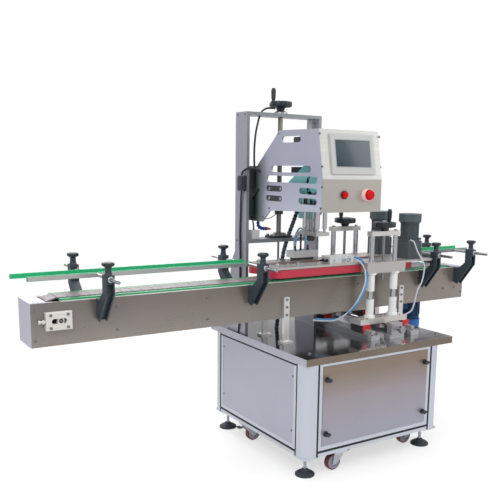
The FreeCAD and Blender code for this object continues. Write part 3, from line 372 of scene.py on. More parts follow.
def piece(name, shape, material, body, sharp=40.0):
    """A mesh object in the frame. It rides on body; a body of None leaves it unattached."""
    mesh = bpy.data.meshes.new(name)
    mesh.from_pydata([tuple(v) for v in shape.verts], [], shape.faces)
    work = bmesh.new()
    work.from_mesh(mesh)
    bmesh.ops.recalc_face_normals(work, faces=work.faces)
    work.to_mesh(mesh)
    work.free()
    for face in mesh.polygons:
        face.use_smooth = True
    mesh.set_sharp_from_angle(angle=math.radians(sharp))
    mesh.materials.append(material)
    made = bpy.data.objects.new(name, mesh)
    bpy.context.scene.collection.objects.link(made)
    if body:
        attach(made, body)
    return made


def islands(node):
    """(low, high) corner of every separate solid of a CAD node, in machine millimetres."""
    mesh = nodes[node].data
    work = bmesh.new()
    work.from_mesh(mesh)
    bmesh.ops.remove_doubles(work, verts=work.verts, dist=1e-6)
    seen, boxes = set(), []
    for vert in work.verts:
        if vert in seen:
            continue
        seen.add(vert)
        stack, found = [vert], []
        while stack:
            v = stack.pop()
            found.append(machine(v.co))
            for edge in v.link_edges:
                other = edge.other_vert(v)
                if other not in seen:
                    seen.add(other)
                    stack.append(other)
        low = Vector([min(p[i] for p in found) for i in range(3)])
        high = Vector([max(p[i] for p in found) for i in range(3)])
        boxes.append((low, high))
    work.free()
    return boxes


def dress(names, material):
    """Give CAD nodes a material."""
    for name in names if isinstance(names, (list, tuple)) else [names]:
        for held in nodes[name].material_slots:
            held.material = material


# The front panel bends at PANEL_BEND (y, z); above it leans back by LEAN.
PANEL_BEND = (-325.0, 1120.0)
LEAN = math.atan2(31.0, 176.0)
KNOB_Y = 152.0

# ---------------------------------------------------------------- finishes

steel_screw = metal("socket_screw_steel", "8C8C90", 0.28, metallic=0.95).done()
zinc = metal("zinc_plate", "B9BCC2", 0.33, metallic=0.85).done()
chrome = metal("polished_steel", "C9CBD0", 0.14, metallic=1.0).done()
black = plastic("black_plastic", "23292E", 0.42).done()
hose_black = plastic("black_hose", "1B2023", 0.5, 2200.0).done()
iron = plastic("painted_iron", "1F282D", 0.4, 1100.0, 0.08).done()


def cabinet_looks():
    frame_look = metal("anodised_profile", "C6CBD4", 0.42, Z, 0.5, 0.02)
    dress("cabinet_frame", frame_look.done())
    dress("slot_strips", plastic("slot_rubber", "151A20", 0.7).done())
    side = metal("side_panel_steel", "B2B3C0", 0.38, Z, 0.6, 0.02)
    dress("cabinet_panels", side.done())
    door = Look("door_steel", "8F8071", 0.34, 0.6)
    # Painted reflection: the door's brushed steel is brown above and turns lighter grey, then bluish grey,
    # towards the bottom.
    door.over(door.along(Z, 400, 300), "A0969A").over(door.along(Z, 320, 150), "A2A2AF")
    door.brushed(X, 0.03)
    dress("cabinet_door", door.done())
    dress("door_knobs", black)
    # Painted reflection and light on one steel top: the brown tone of the faces is painted reflection, the
    # left end face is painted lighter grey, the top face dark like a mirror and lighter again towards its
    # right.
    top = metal("table_steel", "84786A", 0.32, X, 0.8, 0.05)
    top.over(top.facing(-X), "B4B5C0", 0.34, 0.7)
    painted_reflection_top = top.facing(Z)
    top.over(painted_reflection_top, "646569", 0.12, 0.95)
    top.over(top.math("MULTIPLY", painted_reflection_top, top.along(X, 50, 350)), "A4A6AA", 0.16, 0.9)
    dress("table_top", top.smudged(0.05, 0.05).done())
    feet = metal("foot_steel", "A9ABB0", 0.32, metallic=0.85)
    feet.over(feet.along(Z, 25, 24), "2A3238", 0.6, 0.0)
    dress("levelling_feet", feet.done())
    forks = metal("caster_zinc", "B4B8BE", 0.34, metallic=0.85)
    swivel = forks.math("MULTIPLY", forks.along(Z, 69.2, 69.4), forks.along(Z, 73.6, 73.2))
    forks.over(swivel, "1E2328", 0.5, 0.0)
    dress("caster_forks", forks.done())
    for i in range(1, 5):
        low, high = (machine(p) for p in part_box("caster_wheel_%d" % i))
        centre = (low + high) / 2
        wheel = plastic("caster_tyre_%d" % i, "5A2A30", 0.5, 900.0, 0.06)
        wheel.over(wheel.near_axis(centre, Y, 26.0), "8E8E96", 0.45)
        wheel.over(wheel.near_axis(centre, Y, 9.0), "B8BAC0", 0.3, 0.7)
        dress("caster_wheel_%d" % i, wheel.done())


def conveyor_looks():
    beam = Look("conveyor_side_steel", "857E7A", 0.3, 0.65)
    # Painted light and reflection: the sides turn darker and browner towards the middle, lighter towards the
    # right end, and lighter below z 560.
    beam.over(beam.along(X, -700, 100), "7E766B").over(beam.along(X, 300, 950), "A2978E")
    beam.over(beam.along(Z, 700, 560), "9B948E")
    dress("conveyor_sides", beam.brushed(X, 0.05).done())
    cover = Look("end_cover_steel", "C1BFCE", 0.42, 0.5)
    dress("conveyor_end_covers", cover.moulded(500.0, 0.03, 0.08).done())
    legs = metal("support_steel", "E2E0DD", 0.3, Z, 0.7, 0.03)
    dress("conveyor_supports", legs.done())
    edge = plastic("strip_plastic", "16955C", 0.4, 900.0)
    edge.over(edge.along(Z, 718.3, 717.8), "D8DAD4", 0.5)
    dress("wear_strips", edge.done())
    block = plastic("bearing_block_grey", "CFCDC6", 0.42, 700.0)
    dress("shaft_bearings", block.done())
    dress(["drive_shaft", "idler_shaft"], chrome)
    motor = plastic("motor_blue", "053A62", 0.45, 700.0, 0.08)
    motor.over(motor.along(Z, 450, 446), "2A6DAE", 0.5)
    dress("conveyor_gear_motor", motor.done(Specular_IOR_Level=0.3))
    bracket = plastic("bracket_plastic", "2B3740", 0.46, 1100.0, 0.1)
    dress("guide_brackets", bracket.done())
    rails = metal("rail_backing_steel", "B8B7B5", 0.34, X, 0.6)
    rails.over(rails.along(X, -800, -250), "96969A")
    rails.over(rails.between(Y, -48.1, 48.1, 0.2), "15A86C", 0.42, 0.0)
    round_rods = rails.math("MAXIMUM", rails.along(Y, 54.5, 55.5), rails.along(Y, -54.5, -55.5))
    rails.over(round_rods, "B9BABD", 0.2, 1.0)
    for place in ("left_front", "left_rear", "right_front", "right_rear"):
        dress("guide_rail_" + place, rails.material if place != "left_front" else rails.done())


def column_looks():
    column = metal("column_steel", "A3A3AE", 0.38, Z, 0.6, 0.04)
    # Painted shade: faces that look to the front are painted a darker grey.
    column.over(column.facing(-Y), "83888A", 0.38)
    dress("column_frame", column.done())
    bearing = plastic("bearing_iron", "232F2F", 0.42, 700.0, 0.1)
    bearing.over(bearing.along(X, 0, -1), "D4D6D8", 0.4)
    bearing.over(bearing.along(Z, 1370, 1371), "B4B6BA", 0.3, 0.85)
    nuts = bearing.math("MULTIPLY", bearing.between(Z, 876.3, 900), bearing.along(X, 40, 41))
    bearing.over(nuts, "A9ABA8", 0.3, 0.8)
    dress("screw_bearings", bearing.done())
    rails = metal("rail_steel", "B4B5B6", 0.42, Z, 0.6, 0.03)
    bars = rails.math("MULTIPLY", rails.along(Z, 489.2, 488.8), rails.between(Y, -203, 203))
    rails.over(bars, "96989C", 0.36, 0.8)
    dress("linear_rails", rails.done())
    screw = metal("screw_steel", "A9A9AC", 0.25, metallic=0.95)
    dress("cross_screw", screw.done())


def head_looks():
    plates = metal("head_plate_steel", "B2B4C6", 0.36, Y, 0.6, 0.03)
    # Painted light: the plates are lighter below z 1010.
    plates.over(plates.along(Z, 1130, 1010), "C4C7D9")
    # Painted shade and reflection: towards the rear the plates turn grey-green and then near-black green,
    # where they lie in the column's shade.
    plates.over(plates.along(Y, 40, 105), "83908E", 0.4).over(plates.along(Y, 95, 128), "22352F", 0.45)
    # Painted shade: the parts between the side plates, inside the head, are painted dark grey.
    plates.over(plates.between(X, -29.5, 236.0), "4A4C4C", 0.4)
    inner_face = plates.math("MULTIPLY", plates.between(X, 228.0, 235.5), plates.along(Z, 1182, 1172))
    plates.over(inner_face, "62AAAC", 0.3)
    dress("head_frame", plates.done())
    panel = metal("front_panel_steel", "C2C2BE", 0.4, X, 0.5, 0.2)
    # Painted shade: the panel's lower face, below the bend, is painted a darker, browner grey than the
    # leaning upper face.
    panel.over(panel.along(Z, 1122, 1118), "ABA8A1")
    dress("head_front_panel", panel.done())
    screen = plastic("screen_bezel", "B7B9B6", 0.4, 1500.0, 0.03)
    into = Vector((0, math.cos(LEAN), -math.sin(LEAN)))
    face = Vector((0, PANEL_BEND[0], PANEL_BEND[1])).dot(into)
    screen.over(screen.along(into, face + 0.2, face + 0.6), "1E2226")
    low = screen.along(Z, 1101, 1100)
    screen.over(low, "1E2226", 0.4)
    guard = screen.math("MULTIPLY", low, screen.along(X, 120, 121))
    screen.over(guard, "EFC9C6", 0.25)
    dress("operator_screen", screen.done())
    button = Look("push_button_red", "C80008", 0.35).moulded(900.0, 0.01)
    dress("push_button", button.done(Specular_IOR_Level=0.1))
    stop = Look("stop_button_red", "C8060C", 0.38).moulded(900.0, 0.01)
    dress("emergency_stop", stop.done(Specular_IOR_Level=0.15))
    slides = metal("slide_block_steel", "55585C", 0.35, metallic=0.7)
    dress("head_slides", slides.done())
    drives = plastic("teal_paint", "4E9FA2", 0.3, 500.0, 0.05)
    cylinder = drives.between(Y, -51, -17)
    drives.over(drives.math("MULTIPLY", cylinder, drives.along(Z, 1090, 1089)), "B6B8BC", 0.3, 0.8)
    dress("capping_drives", drives.done())
    wheel = plastic("handwheel_coat", "1D262B", 0.36, 600.0, 0.08)
    lower = wheel.along(Z, 1388, 1387)
    wheel.over(lower, "8B8780", 0.3, 0.9).over(wheel.between(Z, 1372, 1388), "D4CFD1", 0.35, 0.4)
    dress("head_handwheel", wheel.done())
    dress(["head_crank_grip", "front_crank_grip", "rear_crank_grip"], black)
    lift = metal("lift_plate_steel", "C9C9C6", 0.28, X, 0.85)
    lift.over(lift.along(Z, 916, 917), "D2D3D6", 0.12, 1.0)
    dress("lift_plate", lift.done())
    chuck = plastic("chuck_rubber", "2E2F31", 0.5)
    chuck.over(chuck.along(Z, 893, 894), "A8A9AC", 0.25, 0.9)
    dress("capping_chuck", chuck.done())


def unit_looks():
    carriage = metal("unit_steel", "D6D4CF", 0.32, X, 0.6, 0.05)
    carriage.over(carriage.between(Z, 622.5, 886.5), "CBCCD0", 0.14, 1.0)
    carriage.over(carriage.between(Z, 545.5, 622.5), "E9EBEA", 0.42, 0.0)
    carriage_done = carriage.done()
    slides = plastic("slide_black", "24272B", 0.4)
    halves = slides.math("ADD", slides.between(X, 312, 380), slides.between(X, 532, 600))
    for sign in (-1, 1):
        ends = slides.math("ADD", slides.between(Y * sign, 92, 103), slides.between(Y * sign, 157, 168))
        slides.over(slides.math("MULTIPLY", ends, halves), "C8202C", 0.4)
    slides_done = slides.done()
    wheel = plastic("unit_handwheel_coat", "1D262B", 0.36, 600.0, 0.08)
    wheel.over(wheel.along(Z, 907.5, 906.5), "97999C", 0.24, 0.95)
    wheel_done = wheel.done()
    top = metal("unit_aluminium", "C2BEB9", 0.34, X, 0.75, 0.05)
    top.over(top.along(Z, 769.5, 768.5), "BDBCB8", 0.4)
    top.over(top.along(Z, 779.5, 780.5), "D2D4D4", 0.38, 0.4)
    top.over(top.math("MULTIPLY", top.along(Y, 20, 21), top.between(Z, 779.6, 790.2)), "2B2F31", 0.5, 0.0)
    top.over(top.math("MULTIPLY", top.along(Z, 735.6, 735.2), top.along(X, 100, 101)), "E9EBEA", 0.42, 0.0)
    top_done = top.done()
    belt = plastic("belt_red", "B8253B", 0.42, 700.0, 0.06)
    inner = belt.noise(420.0)
    belt_done = belt.relief(inner, 0.05).done(Sheen_Weight=0.2)
    motor = plastic("unit_motor_paint", "40494D", 0.4, 500.0, 0.12)
    motor.over(motor.along(Z, 937, 938), "475358", 0.5)
    motor_done = motor.done()
    pulley = metal("pulley_aluminium", "ABADB0", 0.3, metallic=0.9).done()
    for unit in ("front", "rear"):
        dress(unit + "_carriage", carriage_done)
        dress(unit + "_slides", slides_done)
        dress(unit + "_handwheel", wheel_done)
        dress(unit + "_belt_frame", top_done)
        dress(unit + "_belt", belt_done)
        dress(unit + "_gear_motor", motor_done)
        dress([unit + "_drive_pulley", unit + "_idler_pulley"], pulley)


cabinet_looks()
conveyor_looks()
column_looks()
head_looks()
unit_looks()

# ---------------------------------------------------------------- conveyor pieces


def chain_spot(run, shaft_z, left, right, radius):
    """Point and direction on the chain's loop at a length from the top left, in the x-z plane."""
    straight = right - left
    bend = math.pi * radius
    run = run % (2 * (straight + bend))
    if run < straight:
        return left + run, shaft_z + radius, 0.0
    run -= straight
    if run < bend:
        a = run / radius
        return right + radius * math.sin(a), shaft_z + radius * math.cos(a), a
    run -= bend
    if run < straight:
        return right - run, shaft_z - radius, math.pi
    a = math.pi + (run - straight) / radius
    return left + radius * math.sin(a), shaft_z + radius * math.cos(a), a


def slats():
    """Flat-top slats one behind the other, each with a bowed front edge and a matching hollow behind."""
    low, high = (machine(p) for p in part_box("slat_chain"))
    outer = (high.z - low.z) / 2
    shaft_z = (high.z + low.z) / 2
    left, right = low.x + outer, high.x - outer
    radius = outer - 2.0
    length = 2 * (right - left) + 2 * math.pi * radius
    count = round(length / 38.1)
    pitch = length / count
    half = (high.y - low.y) / 2
    bow = 5.0
    shape = Shape()
    for k in range(count):
        rings = []
        for i in range(9):
            y = -half + 2 * half * i / 8
            edge = 1 - (y / half) ** 2
            ring = []
            for along, lift in ((0.5, -2.0), (0.5, 1.3), (1.3, 2.0), (pitch - 1.3, 2.0), (pitch - 0.4, 1.3),
                                (pitch - 0.4, -2.0)):
                run = k * pitch + along + bow * edge
                x, z, a = chain_spot(run, shaft_z, left, right, radius)
                ring.append(at(x + lift * math.sin(a), y, z + lift * math.cos(a)))
            rings.append(ring)
        shape.loft(rings)
    look = plastic("slat_plastic", "7D7276", 0.42, 500.0, 0.04)
    look.vary(look.noise(22.0, (1.0, 1.0, 1.0), 3.0), 0.05, 0.05)
    made = piece("chain_slats", shape, look.done(), "frame", 25.0)
    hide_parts("slat_chain")


def screws():
    """Socket screws in place of the plain round heads."""
    shape = Shape()
    for low, high in islands("fasteners"):
        size = high - low
        centre = (low + high) / 2
        axis = min(range(3), key=lambda i: size[i])
        sign = 1 if centre[axis] > (60 if axis == 0 else 0) else -1
        direction = (X, Y, Z)[axis] * sign
        base = centre - direction * size[axis] / 2
        shape.bolt(at(*base), direction, max(size) / 2, size[axis])
    made = piece("socket_screws", shape, steel_screw, "frame")
    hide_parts("fasteners")


def bracket_knobs():
    """Lobed grips round the clamp knobs of the guide brackets, with the clamp screw under each."""
    lobes = Shape()
    collars = Shape()
    collar = [(6.2, -0.5), (10, -0.5), (10, 7), (8.5, 8.5), (6.2, 8.5)]
    profile = [(10.5, 22), (12.5, 25.5), (18, 28), (20.4, 31), (21, 34.5), (20.2, 38), (16, 40.6), (0, 40.8)]
    for low, high in islands("guide_brackets"):
        x = (low.x + high.x) / 2
        side = 1 if low.y > 0 else -1
        lobes.turned(at(x, side * KNOB_Y, 806), Z, profile, 48,
                     lambda a, r: 1 + (0.05 * math.cos(6 * a) - 0.03) * (r > 16))
        collars.turned(at(x, side * 169, 792), Y * side, collar, 20)
    piece("bracket_knob_lobes", lobes, iron, "frame", 30.0)
    piece("bracket_rod_collars", collars, zinc, "frame")


def tensioner_details():
    """Dark backs of the bearing slots."""
    shape = Shape()
    low, high = (machine(p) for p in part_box("idler_shaft"))
    x, z = (low.x + high.x) / 2, (low.z + high.z) / 2
    for side in (-1, 1):
        shape.turned(at(x, side * 86, z), Y * side, [(0, 0), (8, 0), (7, 3), (3, 3), (2, 1.5), (0, 1.5)], 24)
    piece("shaft_end_caps", shape, black, "conveyor_idler")


slats()
screws()
bracket_knobs()
tensioner_details()

# ---------------------------------------------------------------- head pieces


def screen_glass():
    """Glass of the touch screen, let into the bezel's pocket, with its printed border."""
    down = Vector((0, -math.sin(LEAN), -math.cos(LEAN)))
    out = Vector((0, -math.cos(LEAN), math.sin(LEAN)))
    z = 1209.0
    centre = Vector((107.0, PANEL_BEND[0] + (z - PANEL_BEND[1]) * math.tan(LEAN), z))

    def rect(wide, low, high, depth):
        corners = ((-wide, low), (wide, low), (wide, high), (-wide, high))
        return [at(*(centre + X * x - down * z + out * depth)) for x, z in corners]

    glass = Shape()
    glass.loft([rect(79.5, -45.5, 49.5, 4.6), rect(79.5, -45.5, 49.5, 5.9), rect(78.5, -44.5, 48.5, 6.2)])
    look = Look("screen_glass", "2F3C45", 0.22)
    # Painted reflection: the glass is painted lighter towards its top and towards its right.
    look.over(look.along(Z, 1165, 1260), "3B4953").over(look.along(X, 30, 190), "36434D")
    look.vary(look.noise(14.0), 0.06, 0.02)
    piece("screen_glass", glass, look.done(Coat_Weight=0.1), "head", 20.0)
    border = Shape()
    outer = (83.0, -49.0, 53.0)
    inner = (80.5, -46.5, 50.5)
    border.loft([rect(*outer, 6.9), rect(*outer, 7.6), rect(*inner, 7.6), rect(*inner, 6.9)], False, False)
    edge = plastic("screen_border", "9AA0A5", 0.4)
    piece("screen_border", border, edge.done(), "head", 20.0)


def head_screws():
    """Screws along the edges of the front panel and behind the slots of the side plate."""
    shape = Shape()
    edge_places = ((-35, -1, ((-300, 1279), (-320, 1164), (-323, 1092), (-318, 1016))),
                   (240, 1, ((-301, 1277), (-314, 1166), (-318, 1016))))
    for x, sign, places in edge_places:
        for y, z in places:
            shape.bolt(at(x, y, z), X * sign, 4.5, 3.0)
    side_places = ((112, 1152), (-36, 1287), (20, 1000), (66, 962), (150, 1143), (150, 1088), (150, 1022),
                   (150, 972))
    for y, z in side_places:
        shape.bolt(at(-35, y, z), -X, 4.0, 2.5)
        shape.bolt(at(240, y, z), X, 4.0, 2.5)
    piece("head_edge_screws", shape, steel_screw, "head")
    inner = Shape()
    for y, z in ((-52, 1078), (28, 1078), (-52, 1040), (28, 1040)):
        inner.bolt(at(-28.8, y, z), -X, 7.0, 5.0)
    piece("cheek_bolts", inner, chrome, "head")


def head_inside():
    """Motor's mounting ring, terminal box and the cables inside the head."""
    ring = Shape()
    ring.turned(at(157, 0, 1096), Z, [(31, 0), (37, 0), (37, 7), (31, 7)], 32)
    for i in range(4):
        a = math.radians(45 + 90 * i)
        ring.bolt(at(157 + 34 * math.cos(a), 34 * math.sin(a), 1103), Z, 2.6, 3)
    piece("capping_motor_ring", ring, zinc, "head")
    teal = plastic("inner_motor_teal", "8AD8DC", 0.35, 400.0, 0.03).done()
    motor = Shape()
    housing = [(0, 0), (58, 0), (68, 8), (70, 12), (70, 150), (66, 158), (0, 158)]
    motor.turned(at(20, -208, 1098), X, housing, 64)
    motor.turned(at(8, -208, 1098), X, [(0, 0), (30, 0), (34, 4), (34, 12)], 40)
    for i in range(6):
        a = math.radians(60 * i + 30)
        motor.bolt(at(20, -208 + 48 * math.cos(a), 1098 + 48 * math.sin(a)), -X, 4, 3)
    outline = [(-216, 1170), (-134, 1170), (-22, 1098), (-60, 1056), (-216, 1056)]
    motor.loft([[at(x, y, z) for y, z in outline] for x in (20, 24)])
    piece("head_motor_housing", motor, teal, "head", 20.0)
    boxes = Shape()
    boxes.soft_box((-28.8, 6), (-186, -128), (1228, 1272), 3.0, 1.5)
    boxes.soft_box((26, 60), (-112, -36), (1132, 1163), 4.0, 1.5)
    piece("head_terminal_boxes", boxes, black, "head")
    wires = Shape()
    wires.tube([(0, -160, 1228), (10, -150, 1205), (30, -130, 1185), (60, -122, 1170)], 3.0)
    wires.tube([(150, -128, 1150), (180, -110, 1180), (184, -70, 1214), (170, -30, 1226), (157, -6, 1218)],
               3.0)
    piece("head_inner_wires", wires, hose_black, "head")


def wheel_rim(name, x, y, z, body):
    """Scalloped rim of a handwheel, with its dished face and the nut of the screw."""
    rim = Shape()
    profile = [(24, 14.6), (40, 14.2), (44.5, 16), (46, 19), (46, 32.5), (44.5, 35.6), (41, 36.8), (35, 36.8)]
    rim.turned(at(x, y, z), Z, profile + [(32, 33.6), (24, 33.4)], 96,
               lambda a, r: 1 + (0.035 * math.cos(8 * a) - 0.005) * (r > 38))
    piece(name + "_rim", rim, iron, body, 35.0)
    nut = Shape()
    nut.turned(at(x, y, z + 33), Z, [(12, 0), (12, 1.5), (10.4, 1.5), (10.4, 7), (9, 8.4), (0, 8.4)], 6)
    piece(name + "_nut", nut, zinc, body, 20.0)


screen_glass()
head_screws()
head_inside()
wheel_rim("head_wheel", 102.5, 158, 1391, "head_screw")
wheel_rim("front_wheel", 441, -130, 907, "front_screw")
wheel_rim("rear_wheel", 441, 130, 907, "rear_screw")

# ---------------------------------------------------------------- cables and hoses


def hose_wave(pitch, depth):
    return lambda run: 1 - depth * (0.5 + 0.5 * math.cos(2 * math.pi * run / pitch))


def column_cables():
    loop = Shape()
    loop.tube([(75, 158, 1399), (40, 158, 1398), (17, 158, 1388), (6, 158, 1374), (-4, 158, 1349),
               (-16, 158, 1300), (-22, 158, 1247), (-23, 158, 1201), (-21, 158, 1158)], 4.0)
    made = piece("sensor_cable", loop, hose_black, None)
    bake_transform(made)
    box = Shape()
    box.soft_box((-100, -82), (115, 161), (1064, 1126), 4.0, 1.5)
    box.soft_box((-103, -100), (120, 156), (1070, 1120), 3.0, 0.8)
    piece("column_connector", box, black, "frame")
    to_head = Shape()
    to_head.tube([(-91, 143, 1125), (-90, 136, 1140), (-80, 120, 1152), (-62, 100, 1155), (-44, 92, 1148),
                  (-33, 90, 1140)], 4.0)
    made = piece("connector_cable", to_head, hose_black, None)
    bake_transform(made)
    down = Shape()
    down.tube([(-88, 148, 1064), (-87, 153, 1033), (-86, 157, 976), (-86, 161, 890), (-86, 157, 803),
               (-86, 158, 700), (-86, 160, 560), (-85, 165, 500), (-83, 172, 470)], 3.6)
    piece("table_cable", down, hose_black, "frame")
    switch = Shape()
    switch.tube([(-24, 158, 963), (-25, 160, 944), (-23, 157, 920), (-22, 158, 903)], 3.2)
    made = piece("switch_cable", switch, hose_black, None)
    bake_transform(made)
    brace = Shape()
    brace.tube([(-39.5, 183, 997), (-39.5, 140, 1035), (-39.5, 97, 1074)], 5.0, 16)
    piece("head_cable_clip", brace, hose_black, "head")


def coolant_hose():
    blue = plastic("segment_blue", "2148B4", 0.3, 700.0).done()
    orange = plastic("nozzle_orange", "E0633C", 0.4, 700.0).done()
    hose = Shape()
    hose.tube([(5, 158, 985), (5, 158, 960), (-1, 157, 934), (0, 156, 920), (8, 155, 911), (20, 154, 908),
               (36, 153, 907)], 8.5, 16, 24, hose_wave(10.0, 0.4))
    piece("segmented_hose", hose, blue, "head")
    tip = Shape()
    tip.turned(at(36, 153, 907), Vector((17, 0, -2)), [(6.5, 0), (7, 4), (5, 14), (2.6, 24), (0, 24)], 20)
    piece("hose_nozzle", tip, orange, "head")
    cap = Shape()
    cap.turned(at(44, 140, 1000), Z, [(0, -17), (9, -17), (11, -14), (11, 6), (0, 6)], 24)
    piece("air_fitting", cap, blue, "head")
    wire = Shape()
    wire.tube([(-46, 150, 958), (-19, 150, 954), (16, 150, 948), (44, 149, 949), (70, 146, 960),
               (92, 140, 980), (100, 136, 1004)], 1.6, 8)
    piece("thin_wire", wire, hose_black, "head")


def wrapped_cable():
    """Spiral-wrapped cable that hangs from the head behind the capping spindle."""
    path = [(166, 100, 1010), (160, 101, 989), (155, 104, 969), (145, 112, 931), (132, 124, 880),
            (122, 136, 828), (116, 144, 780), (112, 148, 700), (108, 152, 600), (104, 155, 520),
            (100, 157, 471)]
    shape = Shape()
    shape.tube(path, 9.5, 14, 18, hose_wave(15.0, 0.22))
    look = plastic("spiral_wrap", "1F2836", 0.35, 900.0)
    stripes = look.noise(90.0, (1.0, 1.0, 3.0), 0.0)
    look.over(look.spread(stripes, 0.56, 0.6), "56657C")
    look = look.done()
    made = piece("wrapped_cable", shape, look, None)
    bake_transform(made)


def rear_clamp_hoses():
    light = plastic("air_hose_blue", "A8C8E4", 0.25, 900.0, 0.01).done(Transmission_Weight=0.35)
    hose = Shape()
    hose.tube([(126, 62, 818), (130, 70, 836), (140, 80, 859), (149, 80, 882), (161, 80, 898), (174, 80, 892),
               (185, 80, 869), (197, 80, 836)], 4.0)
    hose.tube([(118, 58, 817), (122, 66, 838), (132, 78, 868), (143, 80, 893), (158, 80, 909), (176, 80, 902),
               (189, 80, 872), (203, 79, 836)], 4.0)
    piece("rear_stop_hoses", hose, light, "rear_belt_head")
    stalk = Shape()
    stalk.turned(at(163, 78, 817.5), Z, [(6, 0), (6, 6), (4, 7), (4, 60), (6.5, 61), (6.5, 72), (0, 73)], 18)
    for x, y in ((122, 60), (200, 79)):
        stalk.turned(at(x, y, 817.5), Z, [(6, 0), (6, 8), (4.5, 9), (4.5, 22), (0, 22)], 18)
    piece("rear_stop_fittings", stalk, black, "rear_belt_head")


def front_hoses():
    """Pair of air hoses from the front stop down to the table, and the cable of the front motor."""
    outer = [(308, -84, 791), (318, -98, 794), (330, -122, 784), (337, -142, 757), (329, -160, 715),
             (310, -166, 672), (276, -166, 621), (238, -155, 582), (203, -130, 554), (175, -95, 547),
             (140, -60, 547)]
    blue = plastic("air_hose_clear_blue", "4E9BD2", 0.25, 900.0, 0.01).done(Transmission_Weight=0.25)
    clear = plastic("air_hose_clear", "DDE6EE", 0.2, 900.0, 0.01).done(Transmission_Weight=0.4)
    hoses = []
    pair = (("front_hose_blue", blue, (3, -2, 2)), ("front_hose_clear", clear, (-4, 2, -4)))
    for name, look, shift in pair:
        shape = Shape()
        shape.tube([tuple(Vector(p) + Vector(shift)) for p in outer], 4.0, 14)
        hoses.append(piece(name, shape, look, None))
    pale = plastic("pale_cable", "BFC4CC", 0.45, 900.0).done()
    cable = Shape()
    cable.tube([(594, -128, 862), (604, -142, 852), (618, -150, 814), (641, -168, 762), (644, -170, 733),
                (634, -170, 684), (610, -170, 647), (594, -170, 590), (576, -172, 560), (545, -158, 541)],
               3.2, 14)
    hoses.append(piece("front_motor_cable", cable, pale, None))
    for made in hoses:
        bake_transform(made)


column_cables()
coolant_hose()
wrapped_cable()
rear_clamp_hoses()
front_hoses()

# ---------------------------------------------------------------- unit pieces


def stop_details():
    """Ports, fittings and end caps of the two bottle-stop cylinders, and the nuts of the idler pins."""
    ports = Shape()
    for x in (254, 280):
        ports.turned(at(x, -100, 791), -Y, [(10, -0.5), (10, 2), (8.5, 3), (7, 3), (6, 0.4), (0, 0.4)], 28)
    ports.turned(at(204, -100, 791), -Y, [(5, -0.5), (5, 1.5), (3, 1.5), (2.6, 0.3), (0, 0.3)], 18)
    piece("front_stop_ports", ports, zinc, "front_belt_head")
    fittings = Shape()
    for x, sign, y in ((182, -1, -84), (306, 1, -84), (182, -1, -60), (306, 1, -60)):
        fittings.turned(at(x, y, 790), X * sign, [(6, -0.5), (6, 8), (4.5, 9), (4.5, 17), (0, 17)], 18)
    piece("front_stop_fittings", fittings, black, "front_belt_head")
    for side, body in ((-1, "front_belt_head"), (1, "rear_belt_head")):
        nuts = Shape()
        for x in (-50, 48):
            base = at(x, side * 70, 779)
            nuts.turned(base, Z, [(13, 0), (13, 1.6), (0, 1.6)], 24)
            nuts.turned(base, Z, [(9, 1.6), (9, 8), (8, 9), (0, 9)], 6)
            nuts.turned(base, Z, [(4.5, 9), (4.5, 13), (0, 13.5)], 16)
        for x in (-66, 20, 380, 502, 590, 650, 690):
            y = 145 if 335 < x < 560 else 40
            nuts.bolt(at(x, side * y, 779), Z, 4.5, 3.5)
        piece(body.replace("_belt_head", "") + "_plate_nuts", nuts, zinc, body)


def motor_details():
    """Tie bolts, ribs and gearhead screws of the two belt motors."""
    coat = plastic("motor_rib_paint", "424C50", 0.42, 500.0, 0.1).done()
    for side, body, unit in ((-1, "front_belt_head", "front"), (1, "rear_belt_head", "rear")):
        cx, cy = 620, side * 95
        ribs = Shape()
        for i in range(24):
            a = 2 * math.pi * (i + 0.5) / 24
            p = at(cx + 38.5 * math.cos(a), cy + 38.5 * math.sin(a), 862)
            ribs.turned(p, Z, [(1.6, 0), (1.6, 72), (0, 72.5)], 8)
        ribs.turned(at(cx, cy, 855.5), Z, [(41, 0), (42, 1), (42, 5), (38, 6)], 48)
        ribs.turned(at(cx, cy, 930), Z, [(38, 0), (43, 1), (43, 7), (38, 8)], 48)
        for i in range(8):
            a = math.radians(45 * i)
            top = at(cx + 30 * math.cos(a), cy + 30 * math.sin(a), 970.5)
            ribs.turned(top, Z, [(2.5, 0), (2.5, 1.6), (0, 1.6)], 10)
        piece(unit + "_motor_ribs", ribs, coat, body)
        heads = Shape()
        for dx in (-33, 33):
            for dy in (-33, 33):
                heads.bolt(at(cx + dx, cy + dy, 855), Z, 4, 3)
        piece(unit + "_gearhead_screws", heads, steel_screw, body)


def carriage_details():
    """Screws on the carriages, the portal bars and the post flanges."""
    for side, body, unit in ((-1, "front_unit", "front"), (1, "rear_unit", "rear")):
        shape = Shape()
        for x in (377, 505):
            shape.bolt(at(x, side * 130, 906), Z, 7, 5)
            for i in range(4):
                a = math.radians(45 + 90 * i)
                shape.bolt(at(x + 20.5 * math.cos(a), side * 130 + 20.5 * math.sin(a), 552), Z, 2.6, 2.4)
        for x in (312, 345, 526, 548):
            for y in (104, 156):
                shape.bolt(at(x, side * y, 545), Z, 3.6, 3)
        for x in (427, 455):
            for y in (118, 142):
                shape.bolt(at(x, side * y, 545), Z, 3.6, 3)
        piece(unit + "_carriage_screws", shape, steel_screw, body)


